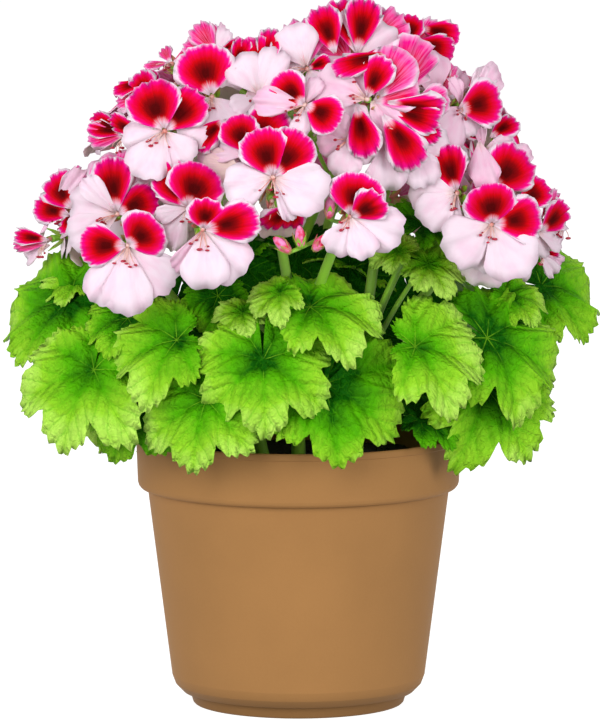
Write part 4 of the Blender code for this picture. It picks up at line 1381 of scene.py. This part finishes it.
def add_seen_petal(shape, row, order, throat, turn, draw, own):
    """A petal between two places in the picture."""
    kind, x, y, ahead, spread, twist = row[:6]
    look = turn.col[2]
    foot = laid_on(row[6], row[7], throat, look) if len(row) > 6 else throat
    tip = laid_on(x, y, foot, look) + look * ahead * MM
    axis = tip - foot
    length = max(SHORTEST * own.length, min(LONGEST * own.length, axis.length))
    axis.normalize()
    front = (look - axis * look.dot(axis)).normalized()
    if kind == "lower_back":
        front = -front
    base = Matrix((axis.cross(front), axis, front)).transposed()
    base = base @ Matrix.Rotation(radians(twist + draw.uniform(-5, 5)), 3, "Y")
    foot = foot + look * (FOREMOST - LAYER * order) * MM
    form = petal_form(draw, kind, spread, own)
    form["fold"] *= 0.5
    add_petal(shape, kind, base, foot, length, form, petal_tint(draw, kind), PETAL_STEPS)


def add_bloom(shape, throat, turn, size, seed, own):
    """A bloom of two upper and three lower petals."""
    draw = random.Random(seed)
    for order, (kind, clockwise, length, spread) in enumerate(PETALS):
        form = petal_form(draw, kind, spread, own)
        around = Matrix.Rotation(-radians(clockwise + draw.uniform(-6, 6)), 3, "Z")
        twist = Matrix.Rotation(radians(draw.uniform(-9, 9)), 3, "Y")
        foot = throat + turn.col[2] * (FOREMOST - LAYER * order) * MM
        reach = own.length * size * length * draw.uniform(0.95, 1.05)
        tint = petal_tint(draw, kind)
        add_petal(shape, kind, turn @ around @ twist, foot, reach, form, tint, FAR_PETAL_STEPS)


def make_petals(head, own, finishes):
    """Every petal of a head."""
    shape = bmesh.new()
    shape.verts.layers.float.new("tint")
    shape.loops.layers.uv.new("UVMap")
    seen = SEEN_PETALS.get(head, {})
    for number, (throat, turn, size) in enumerate(bloom_places(head)):
        if number not in seen:
            add_bloom(shape, throat, turn, size, head + str(number), own)
            continue
        draw = random.Random(head + str(number))
        for order, row in enumerate(seen[number]):
            add_seen_petal(shape, row, order, throat, turn, draw, own)
    name = head + "_petals"
    made = piece_from(name, mesh_from(shape, name), head, "petal_pink", *finishes)
    thicken(made, own.thickness)


def add_sepals(shape, spot, turn, length, spread, number):
    """A ring of pointed sepals whose finish has this number."""
    before = len(shape.faces)
    for k in range(SEPALS):
        around = Matrix.Rotation(2 * pi * k / SEPALS + 0.4, 3, "Z")
        made = bmesh.ops.create_grid(shape, x_segments=2, y_segments=5, size=1)["verts"]
        for point in made:
            u, v = point.co.x, (point.co.y + 1) / 2
            width = 0.16 * (0.5 + 2.2 * v - 2.7 * v * v)
            local = Vector((u * width, v * sin(spread) + 0.12, v * cos(spread) - 0.05 * u * u))
            point.co = spot + turn @ (around @ (local * length))
        bmesh.ops.remove_doubles(shape, verts=made, dist=WELD)
    blades = list(shape.faces)[before:]
    bmesh.ops.recalc_face_normals(shape, faces=blades)
    bmesh.ops.solidify(shape, geom=blades, thickness=SEPAL_THICKNESS)
    number_faces(shape, before, number)


def add_bud(shape, foot, turn, radius, length, number):
    """A closed, pointed bud whose finish has this number."""
    before = len(shape.faces)
    made = bmesh.ops.create_uvsphere(shape, u_segments=12, v_segments=8, radius=1)["verts"]
    for point in made:
        rise = point.co.z
        point.co.x *= radius * (1 - 0.25 * rise)
        point.co.y *= radius * (1 - 0.25 * rise)
        point.co = foot + turn @ Vector((point.co.x, point.co.y, (rise + 1) * length / 2))
    number_faces(shape, before, number)


def make_stalks(head, own, finishes):
    """A head's hub, its bloom stalks, its calyces and its buds."""
    line = stalk_line(head)
    foot, rise = line[-1], (line[-1] - line[-2]).normalized()
    knot = foot + rise * HUB_MIDDLE * MM
    routes = [[(foot + rise * up * MM, radius * MM) for up, radius in HUB]]
    thin = own.stalk_radius
    calyces, buds = [], []
    for throat, turn, _ in bloom_places(head):
        look = turn.col[2]
        back = throat - look * CALYX_START * MM
        middle = knot.lerp(back, 0.55) - look * 4 * MM
        stalk = tapered(bent(knot, middle, back, BLOOM_STALK_POINTS), thin, thin * 1.1)
        tube = [(throat - look * behind * MM, radius * MM) for behind, radius in CALYX]
        routes.append(stalk + tube)
        calyces.append((back, turn))
    for x, y, forward, yaw, pitch in FRONT_BUDS if head == "flower_head_front" else []:
        spot, turn = on_dome(x, y, forward * MM), facing(yaw, pitch, 0)
        middle = knot.lerp(spot, 0.5) - turn.col[2] * 3 * MM
        routes.append(tapered(bent(knot, middle, spot, BLOOM_STALK_POINTS), thin, thin))
        buds.append((spot, turn))
    name = head + "_stalks"
    shape = tubes(name, routes, BLOOM_STALK_SIDES)
    for spot, turn in calyces:
        add_sepals(shape, spot, turn, 9.5 * MM, 0.5, CALYX_FINISH)
    for spot, turn in buds:
        add_bud(shape, spot, turn, 2.4 * MM, 11 * MM, BUD_FINISH)
        add_sepals(shape, spot, turn, 8 * MM, 0.3, CALYX_FINISH)
    piece_from(name, mesh_from(shape, name), head, "petal_pink", *finishes)


def make_stamens(head, finishes):
    """The stamens of each bloom, with their anthers."""
    routes = []
    tips = []
    for number, (throat, turn, size) in enumerate(bloom_places(head)):
        draw = random.Random(head + str(number))
        for _ in range(STAMENS):
            lean = radians(draw.uniform(-46, 46) + 180)
            out = Vector((sin(lean), cos(lean), 0))
            reach = draw.uniform(5, 9) * MM * size
            start = throat + turn @ (out * 0.8 * MM)
            middle = throat + turn @ (out * 0.5 * reach + Vector((0, 0, reach * 0.9)))
            end = throat + turn @ (out * reach + Vector((0, 0, reach * 0.65)))
            points = bent(start, middle, end, STAMEN_POINTS)
            routes.append(tapered(points, 0.26 * MM, 0.18 * MM))
            tips.append((end, (end - middle).normalized(), draw.uniform(0.9, 1.4) * MM))
    name = head + "_stamens"
    shape = tubes(name, routes, STAMEN_SIDES)
    for throat, _, size in bloom_places(head):
        lie = Matrix.Translation(throat)
        bmesh.ops.create_icosphere(shape, subdivisions=2, radius=1.3 * MM * size, matrix=lie)
    before = len(shape.faces)
    for spot, ahead, size in tips:
        turn = ahead.to_track_quat("X", "Z").to_matrix().to_4x4()
        stretch = Matrix.Diagonal((size * 0.5, size * 1.1, size * 0.5, 1))
        lie = Matrix.Translation(spot) @ turn @ stretch
        bmesh.ops.create_icosphere(shape, subdivisions=2, radius=1, matrix=lie)
    number_faces(shape, before, ANTHER_FINISH)
    piece_from(name, mesh_from(shape, name), head, "petal_pink", *finishes)


def colour_setting(name, description, default):
    """A linear colour that a user can pick."""
    return bpy.props.FloatVectorProperty(
        name=name, description=description, default=default, size=3, min=0, max=1, subtype="COLOR"
    )


def length_setting(name, description, default):
    """A length that a user can change."""
    return bpy.props.FloatProperty(
        name=name, description=description, default=default, min=0, unit="LENGTH", precision=5
    )


def number_setting(name, description, default, unit="NONE"):
    """A number that a user can change."""
    return bpy.props.FloatProperty(name=name, description=description, default=default, unit=unit)


def count_setting(name, description, default):
    """How many of a thing there are."""
    return bpy.props.IntProperty(name=name, description=description, default=default, min=0)


class PotSettings(bpy.types.PropertyGroup):
    """Sizes and colour of the pot."""

    rim_radius: length_setting("Rim radius", "Outer radius of the pot's rim", POT_HIGH.x)
    height: length_setting("Height", "Height of the pot", POT_HIGH.z)
    collar_height: length_setting("Collar height", "Height of the broad band under the rim", 0.023)
    body_top_radius: length_setting("Body top radius", "Radius under the collar", 0.0692)
    body_bottom_radius: length_setting("Body bottom radius", "Radius above the foot", 0.0582)
    foot_radius: length_setting("Foot radius", "Radius of the foot", 0.048)
    wall: length_setting("Wall", "Thickness of the wall", 0.0019)
    floor: length_setting("Floor", "Thickness of the floor", 0.003)
    ease: length_setting("Eased edges", "How far the edges are rounded", 0.0006)
    drains: count_setting("Drains", "Number of drain holes", 4)
    drain_radius: length_setting("Drain radius", "Radius of a drain hole", 0.0045)
    drain_ring: length_setting("Drain ring", "Distance of the drain holes from the axis", 0.031)
    colour: colour_setting("Colour", "Colour of the plastic", (0.343, 0.169, 0.056))


class SoilSettings(bpy.types.PropertyGroup):
    """The peat in the pot."""

    top: length_setting("Top", "Height of the soil above the ground", SOIL_TOP)
    crumbs: count_setting("Crumbs", "Number of loose crumbs", 320)
    colour: colour_setting("Colour", "Colour of the wet peat", (0.010, 0.008, 0.006))


class LeafSettings(bpy.types.PropertyGroup):
    """Shape and colours of leaves and stems."""

    thickness: length_setting("Thickness", "Thickness of a leaf", 0.0005)
    tooth: number_setting("Teeth", "Depth of the teeth, as a share of a leaf's reach", 0.034)
    pleat: number_setting("Pleat", "Depth of the pleats along the veins", 0.15)
    droop: number_setting("Droop", "How far the edge hangs below the middle", 0.12)
    cup: number_setting("Cup", "How steeply the blade rises round its stalk", 0.42)
    stem_radius: length_setting("Stem radius", "Radius of a main stem", 0.0034)
    leaf_stalk_radius: length_setting("Leaf stalk radius", "Radius of a leaf's stalk", 0.0012)
    flower_stalk_radius: length_setting("Flower stalk radius", "Radius of a head's stalk", 0.0021)
    # Dark and Edge hold painted shade round the stalk and painted sheen at the edge, as well as the
    # leaf's own greens.
    dark: colour_setting("Dark", "Green round the stalk", (0.004, 0.085, 0.0002))
    middle: colour_setting("Middle", "Green of the inner leaf and of the furrows", (0.08, 0.38, 0.001))
    bright: colour_setting("Bright", "Green of the outer leaf", (0.27, 0.59, 0.02))
    edge: colour_setting("Edge", "Green of the edge", (0.48, 0.79, 0.11))
    stalk: colour_setting("Stalk", "Pale green of the stalks", (0.22, 0.44, 0.04))


class PetalSettings(bpy.types.PropertyGroup):
    """Shape and colours of the blooms."""

    length: length_setting("Length", "Length of a petal", 0.0225)
    thickness: length_setting("Thickness", "Thickness of a petal", 0.0003)
    frill: number_setting("Frill", "Depth of the frills, as a share of the length", 0.07)
    stalk_radius: length_setting("Stalk radius", "Radius of a bloom's stalk", 0.00095)
    blotch: colour_setting("Blotch", "Dark heart of an upper petal", (0.075, 0.0, 0.0005))
    red: colour_setting("Red", "Red round the blotch", (0.55, 0.0, 0.004))
    crimson: colour_setting("Crimson", "Crimson of an upper petal", (0.72, 0.0, 0.06))
    magenta: colour_setting("Magenta", "Magenta inside the edge", (0.80, 0.003, 0.25))
    flush: colour_setting("Flush", "Pink where the magenta fades", (0.88, 0.24, 0.53))
    pale: colour_setting("Pale", "Pink flush of a lower petal", (0.80, 0.45, 0.62))
    cream: colour_setting("Cream", "Cream near the throat", (0.84, 0.66, 0.60))
    white: colour_setting("White", "White of the edge and the lower petals", (0.80, 0.655, 0.745))


class StageSettings(bpy.types.PropertyGroup):
    """The floor, the lights and the camera."""

    floor: colour_setting("Floor", "Colour of the floor", (0.30, 0.30, 0.30))
    glow: number_setting("Glow", "Light that the floor gives off", 0.92)
    sky: number_setting("Sky", "Strength of the light from all round", 0.38)
    key: number_setting("Key", "Power of the main light", 30, "POWER")
    fill: number_setting("Fill", "Power of the light from the right", 27, "POWER")
    side: number_setting("Side", "Power of the light from the left", 18.5, "POWER")
    back: number_setting("Back", "Power of the light from behind", 12, "POWER")


class GERANIUM_OT_pot(bpy.types.Operator):
    """Make the plastic pot"""

    bl_idname = "geranium.pot"
    bl_label = "Pot"

    def execute(self, context):
        make_pot(context.scene.geranium_pot)
        return {"FINISHED"}


class GERANIUM_OT_soil(bpy.types.Operator):
    """Fill the pot with peat"""

    bl_idname = "geranium.soil"
    bl_label = "Soil"

    def execute(self, context):
        make_soil(context.scene.geranium_soil, context.scene.geranium_pot)
        return {"FINISHED"}


class GERANIUM_OT_shoots(bpy.types.Operator):
    """Grow the leafy shoots"""

    bl_idname = "geranium.shoots"
    bl_label = "Leafy shoots"

    def execute(self, context):
        own = context.scene.geranium_leaf
        top, back, stem = leaf_finish(own), leaf_back_finish(own), stem_finish(own)
        for shoot in SHOOT_ANGLES:
            make_stems(shoot, own, stem)
            make_leaves(shoot, own, top, back)
        return {"FINISHED"}


class GERANIUM_OT_flower_heads(bpy.types.Operator):
    """Grow the flower heads"""

    bl_idname = "geranium.flower_heads"
    bl_label = "Flower heads"

    def execute(self, context):
        own, leaf = context.scene.geranium_petal, context.scene.geranium_leaf
        petals = [upper_petal_finish(own), upper_back_finish(own)]
        petals += [lower_petal_finish(own), lower_back_finish(own)]
        stalks = [stem_finish(leaf), calyx_finish(leaf), bud_finish(own)]
        stamens = [stamen_finish(own), anther_finish(own)]
        for head in CARRIERS:
            make_stalks(head, own, stalks)
            make_petals(head, own, petals)
            make_stamens(head, stamens)
        return {"FINISHED"}


def add_floor(own):
    """A wide, pale floor that gives off some light."""
    shape = bmesh.new()
    bmesh.ops.create_grid(shape, x_segments=1, y_segments=1, size=FLOOR_HALF)
    finish = Finish("floor_pale", 0.9, Specular_IOR_Level=0.0, Emission_Strength=own.glow)
    finish.shader.inputs["Emission Color"].default_value = (1, 1, 1, 1)
    cloud = finish.grain(finish.place(), 3, 2)
    finish.colour(finish.mix(cloud * 0.04, own.floor, (0.4, 0.4, 0.4)))
    floor = placed("floor", mesh_from(shape, "floor"))
    floor.data.materials.append(finish.made)
    floor.visible_diffuse = False


def add_sky(own):
    """Soft white light from all round."""
    world = bpy.data.worlds.new("studio")
    world.use_nodes = True
    sky = world.node_tree.nodes["Background"]
    sky.inputs["Color"].default_value = (1, 1, 1, 1)
    sky.inputs["Strength"].default_value = own.sky
    bpy.context.scene.world = world


def add_lamp(name, power, size, spot):
    """A soft square lamp that points at the plant."""
    lamp = bpy.data.lights.new(name, "AREA")
    lamp.energy = power
    lamp.shape = "SQUARE"
    lamp.size = size
    made = placed(name, lamp)
    made.location = spot
    made.rotation_euler = (Vector(spot) - LAMP_AIM).to_track_quat("Z", "Y").to_euler()


def add_camera():
    """The eye that sees the picture."""
    camera = bpy.data.cameras.new("camera")
    camera.sensor_width = SENSOR
    camera.lens = SENSOR * EYE_DISTANCE / (PICTURE_HEIGHT * PIXEL)
    camera.clip_end = 60
    made = placed("camera", camera)
    made.location = EYE
    made.rotation_euler = EYE_AHEAD.to_track_quat("-Z", "Y").to_euler()
    bpy.context.scene.camera = made


class GERANIUM_OT_stage(bpy.types.Operator):
    """Set the floor, the lights and the camera"""

    bl_idname = "geranium.stage"
    bl_label = "Stage"

    def execute(self, context):
        own = context.scene.geranium_stage
        add_floor(own)
        add_sky(own)
        add_lamp("key_lamp", own.key, 1.2, (-0.7, -2.2, 0.95))
        add_lamp("fill_lamp", own.fill, 1.2, (1.5, -1.6, 0.55))
        add_lamp("side_lamp", own.side, 1.2, (-1.9, -1.0, 0.6))
        add_lamp("back_lamp", own.back, 1.0, (0.4, 1.5, 1.6))
        add_camera()
        context.scene.view_settings.view_transform = "Standard"
        return {"FINISHED"}


class GERANIUM_PT_parts(bpy.types.Panel):
    """The parts of the plant, in the order in which they are made"""

    bl_label = "Potted geranium"
    bl_idname = "GERANIUM_PT_parts"
    bl_space_type = "VIEW_3D"
    bl_region_type = "UI"
    bl_category = "Geranium"

    def draw(self, context):
        for tool in TOOLS:
            self.layout.operator(tool.bl_idname)


TOOLS = [
    GERANIUM_OT_pot,
    GERANIUM_OT_soil,
    GERANIUM_OT_shoots,
    GERANIUM_OT_flower_heads,
    GERANIUM_OT_stage,
]
SETTINGS = {
    "geranium_pot": PotSettings,
    "geranium_soil": SoilSettings,
    "geranium_leaf": LeafSettings,
    "geranium_petal": PetalSettings,
    "geranium_stage": StageSettings,
}


def register():
    """Adds the settings, the operators and the panel."""
    for name, group in SETTINGS.items():
        bpy.utils.register_class(group)
        setattr(bpy.types.Scene, name, bpy.props.PointerProperty(type=group))
    for tool in [*TOOLS, GERANIUM_PT_parts]:
        bpy.utils.register_class(tool)


def unregister():
    """Takes them away again."""
    for tool in [GERANIUM_PT_parts, *reversed(TOOLS)]:
        bpy.utils.unregister_class(tool)
    for name, group in SETTINGS.items():
        delattr(bpy.types.Scene, name)
        bpy.utils.unregister_class(group)


def main():
    """Makes every part in turn."""
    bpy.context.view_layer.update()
    register()
    bpy.ops.geranium.pot()
    bpy.ops.geranium.soil()
    bpy.ops.geranium.shoots()
    bpy.ops.geranium.flower_heads()
    bpy.ops.geranium.stage()


if __name__ == "__main__":
    main()
